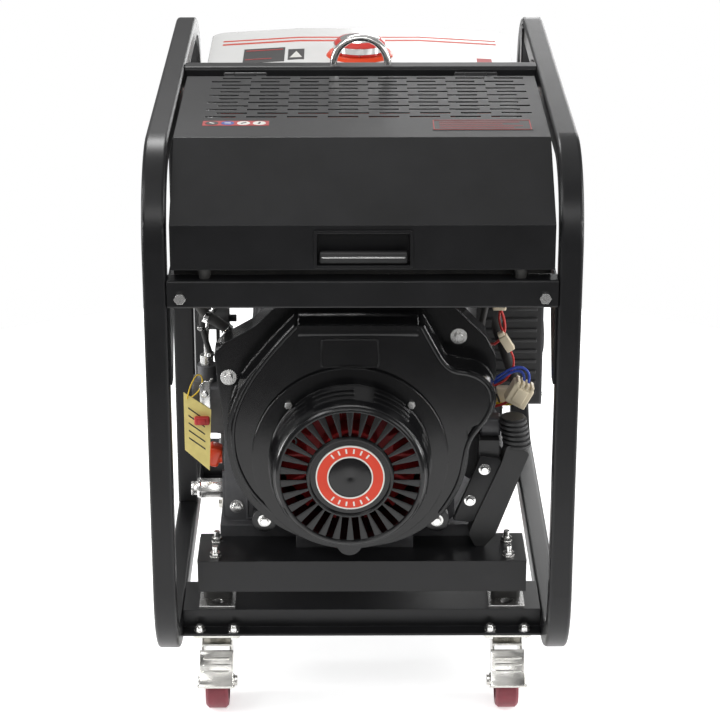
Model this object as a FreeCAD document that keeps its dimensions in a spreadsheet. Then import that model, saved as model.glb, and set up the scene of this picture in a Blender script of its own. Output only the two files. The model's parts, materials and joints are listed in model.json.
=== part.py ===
# Engine driven welder: an open tube frame on casters that carries a small air cooled diesel engine,
# a welding alternator, a fuel tank under the rear rails and a hinged hood over the engine.
# Frame of reference: +Z up, +X to the right seen from the engine end, +Y towards the tank end.
# The origin is on the floor, under the centre of the frame.
import FreeCAD, Part
import math
import os
import re
import Sketcher

os.makedirs("parts", exist_ok=True)
doc = FreeCAD.newDocument("engine_driven_welder")
Vector = FreeCAD.Vector

# ---- driving sizes, millimetres -------------------------------------------------------------
sizes = {
    # frame
    "frame_wide": 550, "frame_long": 850, "frame_low": 102, "frame_top": 820,
    "tube": 30, "tube_wall": 2, "tube_corner": 5, "bend_outer": 120, "vent_radius": 3,
    "bay": "=frame_wide/2-tube", "front": "=-frame_long/2",
    "post_near": 500, "top_bar_near": 449, "eye_ring": 38, "eye_rod": 5,
    "cross_deep": 28, "cross_low": 627, "cross_high": 36.5, "cross_corner": 3,
    "cross_bolt_x": 228.6, "cross_bolt_up": 641, "plate": 3,
    # lower cross members, beams and rubber mounts
    "member_near": 105, "member_far": 235, "member_low": 111.5,
    "member_top": 140.5, "member_web_near": 127, "member_web_far": 213,
    "beam_half": 222.5, "beam_near": 107, "beam_far": 195, "beam_low": 178, "beam_top": 223.5,
    "mount_x": 199, "mount_half": 24.5, "saddle_near": 132, "saddle_far": 200, "saddle_hole": 8,
    "stud_near": 123, "stud_far": 170, "stud_radius": 4,
    # casters
    "caster_x": 199, "caster_y": 152, "caster_plate_x": 65, "caster_plate_y": 94,
    "caster_hole_x": 46.8, "caster_hole_y": 74, "wheel_radius": 37.5, "wheel_wide": 31,
    "wheel_trail": 37, "axle_radius": 4, "running_gap": 0.05, "fork_inner": 17.5, "fork_top": 99,
    "kingpin_radius": 6, "race_inner": 22, "race_outer": 27, "pedal_pivot_up": 80, "seat_gap": 0.3,
    # hood
    "hood_half": 240, "hood_near": 3, "hood_low": 677, "hood_brow": 735.5, "hood_crest": 119,
    "hood_far": 419, "hood_top": 815, "sheet": 1.5, "hinge_y": 434, "hinge_up": 812,
    "hinge_x": 160, "hinge_pin": 2.5, "knuckle": 4.5, "knuckle_half": 15, "leaf_half": 29,
    "slot_long": 40, "slot_wide": 6, "slot_pitch": 53.4, "slot_rows": 6, "row_pitch": 17.6,
    "slot_near": 211, "slot_left": -204.6, "slot_shift": 14.3,
    "pull_left": -57, "pull_right": 59, "pull_low": 683, "pull_top": 725, "pull_deep": 16.5,
    # engine, along the crank axis
    "crank_x": -16, "crank_up": 373.5, "crank_radius": 20, "cover_near": 50, "housing_near": 112,
    "housing_step": 160, "case_near": 200, "case_far": 350, "case_left": -188, "case_right": 128,
    "case_low": 241, "case_top": 440, "fan_radius": 99, "fan_well": 104, "bore_radius": 43,
    "barrel_top": 545, "head_top": 600, "rocker_top": 640, "cylinder_x": -10, "cylinder_y": 265,
    # alternator
    "alternator_radius": 145, "alternator_wall": 8, "alternator_far": 700, "rotor_radius": 88,
    "stator_bore": 90, "stator_near": 430, "stator_far": 600, "rotor_shaft": 18,
    # fuel tank
    "tank_half": 224, "tank_near": 490, "tank_far": 818, "tank_low": 667.5, "tank_top": 780,
    "tank_crown": 785, "tank_wall": 2, "tank_round": 24, "filler_y": 654, "filler_radius": 30,
    "filler_ring": 49.5, "cap_radius": 37.5,
    # battery and control box
    "battery_long": 181, "battery_deep": 77, "battery_high": 160, "battery_near": 758,
    "box_left": 165, "box_right": 258, "box_near": 400, "box_far": 760, "box_low": 330,
    "box_top": 600, "panel_thick": 3, "knob_radius": 20, "key_radius": 10,
}

sheet = doc.addObject("Spreadsheet::Sheet", "Sizes")
for row, (alias, amount) in enumerate(sizes.items(), 1):
    sheet.set(f"A{row}", alias)
    sheet.set(f"B{row}", str(amount))
    sheet.setAlias(f"B{row}", alias)
doc.recompute()

probe = doc.addObject("Part::Vertex", "Probe")
turns = {
    "X": FreeCAD.Rotation(Vector(0, 0, 1), Vector(1, 0, 0)),
    "-X": FreeCAD.Rotation(Vector(0, 0, 1), Vector(-1, 0, 0)),
    "Y": FreeCAD.Rotation(Vector(0, 0, 1), Vector(0, 1, 0)),
    "-Y": FreeCAD.Rotation(Vector(0, 0, 1), Vector(0, -1, 0)),
    "Z": FreeCAD.Rotation(),
}
nodes = []


# ---- helpers --------------------------------------------------------------------------------
def expr(text):
    """Point every named size in a formula at its cell of the sheet."""
    return re.sub(r"[a-z][a-z_]*", lambda word: "Sizes." + word.group()
                  if word.group() in sizes else word.group(), str(text))


def value(text):
    """The present value of a formula."""
    probe.setExpression("X", expr(text))
    probe.recompute()
    return float(probe.X)


def bind(item, **formulas):
    for name, formula in formulas.items():
        item.setExpression(name, expr(formula))
    return item


def put(item, x=0, y=0, z=0, axis="Z"):
    item.Placement = FreeCAD.Placement(Vector(), turns[axis])
    for name, formula in (("x", x), ("y", y), ("z", z)):
        item.setExpression(f"Placement.Base.{name}", expr(formula))
    return item


def box(x, y, z, xx, yy, zz):
    """A block between two corners."""
    block = doc.addObject("Part::Box", "block")
    bind(block, Length=f"({xx})-({x})", Width=f"({yy})-({y})", Height=f"({zz})-({z})")
    return put(block, x, y, z)


def rod(axis, radius, length, x, y, z):
    item = bind(doc.addObject("Part::Cylinder", "rod"), Radius=radius, Height=length)
    return put(item, x, y, z, axis)


def cone(axis, radius, end_radius, length, x, y, z):
    item = doc.addObject("Part::Cone", "cone")
    bind(item, Radius1=radius, Radius2=end_radius, Height=length)
    return put(item, x, y, z, axis)


def hexagon(axis, across, length, x, y, z):
    item = doc.addObject("Part::Prism", "hexagon")
    item.Polygon = 6
    bind(item, Circumradius=f"({across})/1.732", Height=length)
    return put(item, x, y, z, axis)


def fuse(*items):
    if len(items) == 1:
        return items[0]
    joined = doc.addObject("Part::MultiFuse", "joined")
    joined.Shapes = list(items)
    return joined


def cut(base, *tools):
    item = doc.addObject("Part::Cut", "cut")
    item.Base = base
    item.Tool = fuse(*tools)
    return item


def group(*items):
    item = doc.addObject("Part::Compound", "group")
    item.Links = list(items)
    return item


def rounded(base, radius, wanted):
    """Round the edges that the test picks; the test gets the edge's ends and middle."""
    doc.recompute()
    picked = []
    for number, edge in enumerate(base.Shape.Edges, 1):
        if wanted(edge):
            picked.append((number, value(radius), value(radius)))
    item = doc.addObject("Part::Fillet", "rounded")
    item.Base = base
    item.Edges = picked
    return item


def runs_along(axis):
    direction = {"X": Vector(1, 0, 0), "Y": Vector(0, 1, 0), "Z": Vector(0, 0, 1)}[axis]

    def test(edge):
        if not isinstance(edge.Curve, Part.Line):
            return False
        return abs(abs(edge.Curve.Direction.dot(direction)) - 1) < 1e-6
    return test


def profile(body, plane, outline, offset="0"):
    """A closed sketch of straight sides whose corners are all set from the sheet."""
    sketch = body.newObject("Sketcher::SketchObject", "outline")
    face = [item for item in body.Origin.OriginFeatures if item.Role == plane + "_Plane"][0]
    sketch.AttachmentSupport = [(face, "")]
    sketch.MapMode = "FlatFace"
    sketch.setExpression("AttachmentOffset.Base.z", expr(offset))
    corners = [Vector(value(u), value(v), 0) for u, v in outline]
    count = len(corners)
    for index in range(count):
        side = Part.LineSegment(corners[index], corners[(index + 1) % count])
        sketch.addGeometry(side, False)
    for index in range(count):
        following = (index + 1) % count
        sketch.addConstraint(Sketcher.Constraint("Coincident", index, 2, following, 1))
    for index, (u, v) in enumerate(outline):
        for kind, formula, amount in (("DistanceX", u, corners[index].x),
                                      ("DistanceY", v, corners[index].y)):
            number = sketch.addConstraint(Sketcher.Constraint(kind, -1, 1, index, 1, amount))
            sketch.setExpression(f"Constraints[{number}]", expr(formula))
    return sketch


def slab(plane, outline, start, end):
    """An outline in a plane, extruded from start to end along the third axis."""
    body = doc.addObject("PartDesign::Body", "slab")
    offset = f"-({end})" if plane == "XZ" else start
    sketch = profile(body, plane, outline, offset)
    pad = body.newObject("PartDesign::Pad", "pad")
    pad.Profile = sketch
    bind(pad, Length=f"({end})-({start})")
    return body


def turned(axis, outline, x="0", y="0", z="0"):
    """A solid of revolution; the outline is (along the axis, radius)."""
    body = doc.addObject("PartDesign::Body", "turned")
    if axis == "Z":
        outline = [(radius, along) for along, radius in outline]
    sketch = profile(body, "YZ" if axis == "Y" else "XZ", outline)
    feature = body.newObject("PartDesign::Revolution", "revolution")
    feature.Profile = sketch
    feature.ReferenceAxis = (sketch, ["V_Axis" if axis == "Z" else "H_Axis"])
    feature.Angle = 360
    return put(body, x, y, z)


def pipe(points, radius):
    """A round tube along straight runs joined by the widest tangent arcs the runs allow."""
    corners = [Vector(value(x), value(y), value(z)) for x, y, z in points]
    size = value(radius)
    edges = []
    start = corners[0]
    for before, corner, after in zip(corners, corners[1:], corners[2:]):
        back = before - corner
        ahead = after - corner
        reach = 0.45 * min(back.Length, ahead.Length)
        back.normalize()
        ahead.normalize()
        enter = corner + back * reach
        leave = corner + ahead * reach
        half = (back + ahead).normalize()
        lean = back.getAngle(half)
        centre_far = reach / math.cos(lean)
        arc_radius = reach * math.tan(lean)
        middle = corner + half * (centre_far - arc_radius)
        edges.append(Part.LineSegment(start, enter).toShape())
        edges.append(Part.Arc(enter, middle, leave).toShape())
        start = leave
    edges.append(Part.LineSegment(start, corners[-1]).toShape())
    path = Part.Wire(edges)
    ring = Part.Wire(Part.Circle(corners[0], corners[1] - corners[0], size).toShape())
    solid = path.makePipeShell([ring], True, False)
    item = doc.addObject("Part::Feature", "pipe")
    item.Shape = solid
    return item


def node(name, *items):
    """Name a finished sub-part; several solids become one group."""
    item = items[0] if len(items) == 1 else group(*items)
    item.Label = name
    nodes.append(item)
    return item


def rear(formula, is_rear):
    """The same distance from the other end of the frame."""
    return f"-({formula})" if is_rear else formula


def span(near, far, is_rear):
    """Two places along Y, low one first, measured from one end of the frame or the other."""
    if is_rear:
        return f"-(front+({far}))", f"-(front+({near}))"
    return f"front+({near})", f"front+({far})"


def tube_bar(x, y, z, xx, yy, zz, axis, corner):
    """A straight length of hollow rectangular tube, open at its ends."""
    outer = rounded(box(x, y, z, xx, yy, zz), corner, runs_along(axis))
    low = [f"({x})", f"({y})", f"({z})"]
    high = [f"({xx})", f"({yy})", f"({zz})"]
    for index, letter in enumerate("XYZ"):
        inset = -1 if letter == axis else 1
        low[index] += f"+tube_wall*{inset}"
        high[index] += f"-tube_wall*{inset}"
    return cut(outer, box(*low, *high))


# ---- frame ----------------------------------------------------------------------------------
def ring_solid(side, inset):
    """The closed loop of a side hoop, or with an inset the hollow inside its wall."""
    left = f"{side}*(frame_wide/2-tube/2)-tube/2+{inset}"
    right = f"{side}*(frame_wide/2-tube/2)+tube/2-{inset}"
    outer = box(left, f"front+{inset}", f"frame_low+{inset}",
                right, f"-front-{inset}", f"frame_top-{inset}")
    inner = box(left, f"front+tube-{inset}", f"frame_low+tube-{inset}",
                right, f"-front-tube+{inset}", f"frame_top-tube+{inset}")
    outer = rounded(outer, f"bend_outer-{inset}", runs_along("X"))
    inner = rounded(inner, f"bend_outer-tube+{inset}", runs_along("X"))
    return cut(outer, inner)


def hoop(name, side):
    ring = ring_solid(side, "0")
    middle = value(f"{side}*(frame_wide/2-tube/2)")

    def on_side_face(edge):
        places = [vertex.X for vertex in edge.Vertexes]
        return max(places) - min(places) < 1e-6 and abs(places[0] - middle) > 1
    smooth = rounded(ring, "tube_corner", on_side_face)
    vent = rod("Z", "vent_radius", "tube_wall*3", f"{side}*(frame_wide/2-tube/2)", 0,
               "frame_low-tube_wall")
    node(name, cut(smooth, ring_solid(side, "tube_wall"), vent))


hoop("left_hoop", -1)
hoop("right_hoop", 1)
node("left_post", tube_bar("-frame_wide/2", "front+post_near", "frame_low+tube", "-bay",
                           "front+post_near+tube", "frame_top-tube", "Z", "cross_corner"))
node("top_crossbar", tube_bar("-bay", "front+top_bar_near", "frame_top-tube", "bay",
                              "front+top_bar_near+tube", "frame_top", "X", "tube_corner"))

eye = doc.addObject("Part::Torus", "eye")
bind(eye, Radius1="eye_ring", Radius2="eye_rod")
eye.Angle3 = 180
eye.Placement = FreeCAD.Placement(Vector(), FreeCAD.Rotation(Vector(1, 0, 0), 90))
eye.setExpression("Placement.Base.y", expr("front+top_bar_near+tube/2"))
eye.setExpression("Placement.Base.z", expr("frame_top"))
node("lifting_eye", eye)

for name, is_rear in (("front_crossbar", False), ("rear_crossbar", True)):
    near, far = span("0", "cross_deep", is_rear)
    bar = tube_bar("-bay", near, "cross_low", "bay", far, "cross_low+cross_high", "X",
                   "cross_corner")
    holes = [rod("-Y" if is_rear else "Y", "stud_radius+0.2", "tube_wall*2",
                 f"{side}*cross_bolt_x", rear("front-1", is_rear), "cross_bolt_up")
             for side in (-1, 1)]
    node(name, cut(bar, *holes))

for name, is_rear in (("front_crossmember", False), ("rear_crossmember", True)):
    outline = [("member_near", "member_low"), ("member_near", "member_low+plate"),
               ("member_web_near", "member_low+plate"), ("member_web_near", "member_top"),
               ("member_web_far", "member_top"), ("member_web_far", "member_low+plate"),
               ("member_far", "member_low+plate"), ("member_far", "member_low")]
    outline = [(rear(f"front+{y}", is_rear), z) for y, z in outline]
    near, far = span("member_web_near+plate", "member_web_far-plate", is_rear)
    hollow = box("-bay-1", near, "member_low+plate", "bay+1", far, "member_top-plate")
    holes = []
    for x_sign in (-1, 1):
        for dx in (-1, 1):
            for dy in (-1, 1):
                x = f"{x_sign}*caster_x+{dx}*caster_hole_x/2"
                y = rear(f"front+caster_y+{dy}*caster_hole_y/2", is_rear)
                holes.append(rod("Z", "stud_radius+0.2", "plate+2", x, y, "member_low-1"))
    node(name, cut(slab("YZ", outline, "-bay", "bay"), hollow, *holes))

for name, is_rear in (("front_engine_beam", False), ("rear_engine_beam", True)):
    outline = [("beam_near", "beam_low"), ("beam_near", "beam_top"), ("beam_far", "beam_top"),
               ("beam_far", "beam_low"), ("beam_far-plate", "beam_low"),
               ("beam_far-plate", "beam_top-plate"), ("beam_near+plate", "beam_top-plate"),
               ("beam_near+plate", "beam_low")]
    outline = [(rear(f"front+{y}", is_rear), z) for y, z in outline]
    holes = [rod("Z", "stud_radius+0.2", "plate*3", f"{side}*mount_x",
                 rear(f"front+{place}", is_rear), "beam_top-plate*2")
             for side in (-1, 1) for place in ("stud_near", "stud_far")]
    node(name, cut(slab("YZ", outline, "-beam_half", "beam_half"), *holes))

# rubber mounts: a drilled saddle plate, a rubber block and a top plate inside the beam
plates = []
rubbers = []
for is_rear in (False, True):
    for side in (-1, 1):
        left = f"{side}*mount_x-mount_half"
        right = f"{side}*mount_x+mount_half"
        near, far = span("saddle_near", "saddle_far", is_rear)
        hole = rod("Z", "saddle_hole", "plate*2", f"{side}*mount_x",
                   rear("front+saddle_near+14", is_rear), "member_top-1")
        plates.append(cut(box(left, near, "member_top", right, far, "member_top+plate"), hole))
        near, far = span("beam_near+plate+3", "beam_far-plate-2", is_rear)
        top = box(left, near, "beam_top-plate*2", right, far, "beam_top-plate")
        holes = [rod("Z", "stud_radius+0.2", "plate*3", f"{side}*mount_x",
                     rear(f"front+{place}", is_rear), "beam_top-plate*3")
                 for place in ("stud_near", "stud_far")]
        plates.append(cut(top, *holes))
        near, far = span("saddle_near+24", "beam_far-plate-14", is_rear)
        block = box(f"{side}*mount_x-20", near, "member_top+plate", f"{side}*mount_x+20", far,
                    "beam_top-plate*2")
        pocket = rod("Z", "stud_radius+4", "20", f"{side}*mount_x",
                     rear("front+stud_far", is_rear), "beam_top-plate*2-16")
        rubbers.append(cut(rounded(block, "6", runs_along("Z")), pocket))
node("mount_plates", *plates)
node("mount_rubbers", *rubbers)

# welded sheet brackets: gussets beside the front crossbar, tank and panel hangers, battery tray
gusset = [("front+10", "cross_low-107"), ("front+10", "cross_low-2"), ("front+30", "cross_low-2"),
          ("front+30", "cross_low+33"), ("front+100", "cross_low+33"),
          ("front+100", "cross_low+18"), ("front+34", "cross_low-107")]
brackets = [slab("YZ", gusset, "-bay", "-bay+plate"), slab("YZ", gusset, "bay-plate", "bay")]
hanger = [("front+top_bar_near+tube", "tank_low-4"), ("front+top_bar_near+tube", "frame_top-10"),
          ("front+top_bar_near+tube+plate", "frame_top-10"),
          ("front+top_bar_near+tube+plate", "tank_low"), ("front+tank_near+40", "tank_low"),
          ("front+tank_near+40", "tank_low-4")]
for side in (-1, 1):
    brackets.append(slab("YZ", hanger, f"{side}*150-15", f"{side}*150+15"))
    brackets.append(box(f"{side}*150-15", "-front-cross_deep-22", "cross_low+cross_high",
                        f"{side}*150+15", "-front-10", "tank_low"))
for near in ("box_near+90", "box_far-55"):
    brackets.append(box("bay-plate", f"front+{near}", "box_top", "bay",
                        f"front+{near}+30", "frame_top-8"))
tray_top = "member_low+plate*2"
tray = box("-battery_long/2-6", "-(front+member_web_near)+1", "member_low+plate",
           "battery_long/2+6", "front+battery_near+battery_deep+6", tray_top)
lips = [box("-battery_long/2-6", "front+battery_near-6", "member_low+plate",
            "-battery_long/2-3", "front+battery_near+battery_deep+6", f"{tray_top}+18"),
        box("battery_long/2+3", "front+battery_near-6", "member_low+plate",
            "battery_long/2+6", "front+battery_near+battery_deep+6", f"{tray_top}+18"),
        box("-battery_long/2-6", "front+battery_near+battery_deep+3", "member_low+plate",
            "battery_long/2+6", "front+battery_near+battery_deep+6", f"{tray_top}+18")]
brackets.append(fuse(tray, *lips))
node("welded_brackets", *brackets)


def fastener(axis, x, y, z, grip, head, across_flats="13", tail="5", washer=True):
    """A bolt with its nut in one solid: the head starts at x, y, z and stands against axis."""
    step = {"Y": (0, 1, 0), "-Y": (0, -1, 0), "Z": (0, 0, 1)}[axis]

    def at(distance):
        return [f"({base})+({distance})*({way})" for base, way in zip((x, y, z), step)]
    items = [hexagon(axis, across_flats, head, *at(f"-({head})")),
             rod(axis, "stud_radius", f"({grip})+6.5+({tail})", *at("-1")),
             hexagon(axis, across_flats, "6.5", *at(grip))]
    if washer:
        items.append(rod(axis, "8", "1.5", *at(f"({grip})-0")))
    return fuse(*items)


bolts = []
for is_rear in (False, True):
    inward = "-Y" if is_rear else "Y"
    for side in (-1, 1):
        bolts.append(fastener(inward, f"{side}*cross_bolt_x", rear("front", is_rear),
                              "cross_bolt_up", "tube_wall", "5.3", tail="3", washer=False))
        for dx in (-1, 1):
            for dy in (-1, 1):
                bolts.append(fastener(
                    "Z", f"{side}*caster_x+{dx}*caster_hole_x/2",
                    rear(f"front+caster_y+{dy}*caster_hole_y/2", is_rear),
                    "member_low-plate", "plate*2", "5", tail="4"))
        for place in ("stud_near", "stud_far"):
            bolts.append(fastener("Z", f"{side}*mount_x", rear(f"front+{place}", is_rear),
                                  "beam_top-plate*2", "plate*2", "4", tail="10"))
node("frame_fasteners", *bolts)

# ---- casters --------------------------------------------------------------------------------
plate_low = "member_low-plate"
bases = []
for is_rear in (False, True):
    middle = rear("front+caster_y", is_rear)
    for side in (-1, 1):
        x = f"{side}*caster_x"
        plate_block = rounded(box(f"{x}-caster_plate_x/2", f"{middle}-caster_plate_y/2", plate_low,
                                  f"{x}+caster_plate_x/2", f"{middle}+caster_plate_y/2",
                                  "member_low"), "6", runs_along("Z"))
        holes = [rod("Z", "stud_radius+0.2", "plate*3", f"{x}+{dx}*caster_hole_x/2",
                     f"{middle}+{dy}*caster_hole_y/2", "member_low-plate*2")
                 for dx in (-1, 1) for dy in (-1, 1)]
        if is_rear:
            cheeks = []
            shape = [(f"{middle}-26", "member_low-plate"), (f"{middle}+26", "member_low-plate"),
                     (f"{middle}+13", "wheel_radius-10"), (f"{middle}-13", "wheel_radius-10")]
            for lean in (-1, 1):
                low = f"{x}+{lean}*(fork_inner+plate/2)-plate/2"
                cheeks.append(slab("YZ", shape, low, f"{low}+plate"))
            axle = rod("X", "axle_radius", "fork_inner*2+plate*2", f"{x}-fork_inner-plate", middle,
                       "wheel_radius")
            nuts = [hexagon("X", "13", "6", f"{x}+fork_inner+plate", middle, "wheel_radius"),
                    hexagon("-X", "13", "6", f"{x}-fork_inner-plate", middle, "wheel_radius")]
            bases.append(cut(fuse(plate_block, axle, *cheeks, *nuts), *holes))
        else:
            race = cut(rod("Z", "race_outer", "7", x, middle, "member_low-plate-7"),
                       rod("Z", "race_inner", "9", x, middle, "member_low-plate-8"))
            pin_hole = rod("Z", "kingpin_radius+running_gap", "plate*3", x, middle,
                           "member_low-plate*2")
            bases.append(fuse(cut(plate_block, pin_hole, *holes), race))
node("caster_bases", *bases)


def caster_fork(name, side):
    x = f"{side}*caster_x"
    head_y = "front+caster_y"
    axle_y = "front+caster_y-wheel_trail"
    shape = [(f"{head_y}+24", "fork_top"), (f"{axle_y}-12", "fork_top"),
             (f"{axle_y}-17", "pedal_pivot_up-8"), (f"{axle_y}-9", "wheel_radius-10"),
             (f"{axle_y}+9", "wheel_radius-10"), (f"{head_y}+10", "pedal_pivot_up-8")]
    cheeks = []
    for lean in (-1, 1):
        low = f"{x}+{lean}*(fork_inner+plate/2)-plate/2"
        cheeks.append(slab("YZ", shape, low, f"{low}+plate"))
    bridge = box(f"{x}-fork_inner-plate", f"{axle_y}-12", "fork_top-plate",
                 f"{x}+fork_inner+plate", f"{head_y}+24", "fork_top")
    crown = rod("Z", "race_inner-running_gap", "member_low-plate-seat_gap-fork_top+1", x, head_y,
                "fork_top-1")
    kingpin = rod("Z", "kingpin_radius", "member_low-seat_gap-fork_top", x, head_y, "fork_top")
    axle = rod("X", "axle_radius", "fork_inner*2+plate*2", f"{x}-fork_inner-plate", axle_y,
               "wheel_radius")
    ends = []
    for axis, lean in (("X", 1), ("-X", -1)):
        ends.append(hexagon(axis, "13", "6.5", f"{x}+{lean}*(fork_inner+plate)", axle_y,
                            "wheel_radius"))
        ends.append(rod(axis, "2.5", "plate+2", f"{x}+{lean}*fork_inner", f"{axle_y}-8",
                        "pedal_pivot_up"))
    node(name, fuse(bridge, crown, kingpin, axle, *cheeks, *ends))


def caster_wheel(name, x, y):
    rim = "wheel_radius-11"
    outline = [("-fork_inner+seat_gap", "axle_radius+running_gap"), ("-fork_inner+seat_gap", "9"),
               ("-wheel_wide/2+4", "9"), ("-wheel_wide/2+4", rim), ("-wheel_wide/2", rim),
               ("-wheel_wide/2", "wheel_radius-4"), ("-wheel_wide/2+4", "wheel_radius"),
               ("wheel_wide/2-4", "wheel_radius"), ("wheel_wide/2", "wheel_radius-4"),
               ("wheel_wide/2", rim), ("wheel_wide/2-4", rim), ("wheel_wide/2-4", "9"),
               ("fork_inner-seat_gap", "9"), ("fork_inner-seat_gap", "axle_radius+running_gap")]
    node(name, turned("X", outline, x, y, "wheel_radius"))


def brake_pedal(name, side):
    """A foot pedal over the wheel, hung on two pins of the fork."""
    x = f"{side}*caster_x"
    y = "front+caster_y-wheel_trail"
    wide = "fork_inner+plate+seat_gap"
    tread = [(f"{y}-14.8", "fork_top-7"), (f"{y}-16.5", "fork_top-5.6"), (f"{y}-41.7", "61.4"),
             (f"{y}-50", "54.5"), (f"{y}-50", "51.5"), (f"{y}-40", "59")]
    cheek = [(f"{y}-3", "pedal_pivot_up-6"), (f"{y}-3", "pedal_pivot_up+6"),
             (f"{y}-14.8", "fork_top-7"), (f"{y}-40", "60"), (f"{y}-38", "55")]
    items = [slab("YZ", tread, f"{x}-({wide})-2", f"{x}+({wide})+2")]
    for lean in (-1, 1):
        low = f"{x}+{lean}*({wide}+1)-1"
        pin_hole = rod("X", "2.5+running_gap", "6", f"{low}-2", f"{y}-8", "pedal_pivot_up")
        items.append(cut(slab("YZ", cheek, low, f"{low}+2"), pin_hole))
    node(name, fuse(*items))


for side, word in ((-1, "left"), (1, "right")):
    caster_fork(f"front_{word}_fork", side)
    caster_wheel(f"front_{word}_wheel", f"{side}*caster_x", "front+caster_y-wheel_trail")
    caster_wheel(f"rear_{word}_wheel", f"{side}*caster_x", "-(front+caster_y)")
    brake_pedal(f"{word}_brake_pedal", side)


# ---- hood -----------------------------------------------------------------------------------
def hood_profile(inset):
    """The side view of the hood; the inset is the sheet thickness for the hollow below it."""
    if inset:
        return [("front+hood_near+sheet", "hood_low-1"),
                ("front+hood_near+sheet", "hood_brow-sheet*0.55"),
                ("front+hood_crest+sheet*0.3", "hood_top-sheet"),
                ("front+hood_far+1", "hood_top-sheet"), ("front+hood_far+1", "hood_low-1")]
    return [("front+hood_near", "hood_low"), ("front+hood_near", "hood_brow"),
            ("front+hood_crest", "hood_top"), ("front+hood_far", "hood_top"),
            ("front+hood_far", "hood_low")]


def slotted_hood():
    shell = cut(slab("YZ", hood_profile(False), "-hood_half", "hood_half"),
                slab("YZ", hood_profile(True), "-hood_half+sheet", "hood_half-sheet"))
    pan = box("pull_left-sheet", "front+hood_near", "pull_low-sheet", "pull_right+sheet",
              "front+hood_near+pull_deep+sheet", "pull_top+sheet")
    recess = box("pull_left", "front+hood_near-1", "pull_low", "pull_right",
                 "front+hood_near+pull_deep", "pull_top")
    lip = box("-hood_half+sheet", "front+hood_near+sheet", "hood_low", "hood_half-sheet",
              "front+hood_near+22", "hood_low+sheet")
    slots = []
    for row in range(2 * int(value("slot_rows"))):
        y = f"front+slot_near+{row}*row_pitch"
        for column in range(8):
            x = f"slot_left+{row % 2}*slot_shift+{column}*slot_pitch"
            slots.append(box(x, y, "hood_top-sheet-1", f"{x}+slot_long", f"{y}+slot_wide",
                             "hood_top+1"))
    parts = [cut(fuse(shell, pan, lip), recess, *slots)]
    for side in (-1, 1):
        middle = f"{side}*hinge_x"
        for lean in (-1, 1):
            inner = f"{middle}+{lean}*(knuckle_half+seat_gap)"
            outer = f"{middle}+{lean}*leaf_half"
            low, high = (inner, outer) if lean > 0 else (outer, inner)
            leaf = box(low, "front+hood_far-24", "hood_top-sheet-2.5", high, "front+hinge_y",
                       "hood_top-sheet")
            knuckle = rod("X", "knuckle", f"({high})-({low})", low, "front+hinge_y", "hinge_up")
            bore = rod("X", "hinge_pin+running_gap", "leaf_half", f"({low})-1", "front+hinge_y",
                       "hinge_up")
            parts.append(cut(fuse(leaf, knuckle), bore))
    return fuse(*parts)


node("hood_lid", slotted_hood())
hinges = []
for side in (-1, 1):
    middle = f"{side}*hinge_x"
    low = f"{middle}-knuckle_half"
    high = f"{middle}+knuckle_half"
    hinges.append(fuse(
        rod("X", "knuckle", "knuckle_half*2", low, "front+hinge_y", "hinge_up"),
        rod("X", "hinge_pin", "leaf_half*2+2", f"{middle}-leaf_half-1", "front+hinge_y",
            "hinge_up"),
        box(low, "front+hinge_y", "hinge_up-knuckle", high, "front+top_bar_near",
            "hinge_up-knuckle+2.5"),
        box(low, "front+top_bar_near-2.5", "frame_top-tube+3", high, "front+top_bar_near",
            "hinge_up-knuckle+1")))
node("hood_hinges", *hinges)
node("hood_bumpers", *[cone("Z", "7", "9.5", "hood_low-cross_low-cross_high", f"{side}*198",
                            "front+14", "cross_low+cross_high") for side in (-1, 1)])


# ---- engine ---------------------------------------------------------------------------------
def along_crank(near, far, radius):
    return rod("Y", radius, f"({far})-({near})", "crank_x", f"front+({near})", "crank_up")


foot = fuse(box("case_left-7", "front+case_near-14", "beam_top", "case_right+37",
                "front+case_far", "case_low"),
            box("case_left+98", "front+150", "beam_top", "case_right-58", "front+case_near",
                "case_low"))
block = box("case_left", "front+case_near", "case_low", "case_right", "front+case_far",
            "case_top")
block = rounded(block, "12", runs_along("Y"))
ribs = [box("case_left-4", f"front+{y}", "case_low", "case_left+14", f"front+{y}+6", "case_low+70")
        for y in (212, 262, 312)]
chamber = box("crank_x-80", "front+case_near+14", "case_low+20", "crank_x+80",
              "front+case_far-14", "case_top+1")
crank_bore = along_crank("case_near-1", "case_far+1", "crank_radius+running_gap")
filler_hole = rod("X", "9", "30", "case_left-4", "front+225", "330")
drain_hole = rod("X", "9", "32", "case_left-6", "front+250", "268")
filler_boss = rod("-X", "15", "4", "case_left+2", "front+225", "330")
drain_boss = rod("-X", "14", "7", "case_left+2", "front+250", "268")
node("crankcase", cut(fuse(foot, block, filler_boss, drain_boss, *ribs), chamber, crank_bore,
                      filler_hole, drain_hole))

barrel = rod("Z", "bore_radius+8", "barrel_top-case_top", "cylinder_x", "front+cylinder_y",
             "case_top")
fins = []
for index in range(8):
    z = f"case_top+8+{index}*12"
    fins.append(box("cylinder_x-68", "front+cylinder_y-58", z, "cylinder_x+68",
                    "front+cylinder_y+58", f"{z}+3"))
bore = rod("Z", "bore_radius", "barrel_top-case_top+2", "cylinder_x", "front+cylinder_y",
           "case_top-1")
node("cylinder_barrel", cut(fuse(barrel, *fins), bore))

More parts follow.
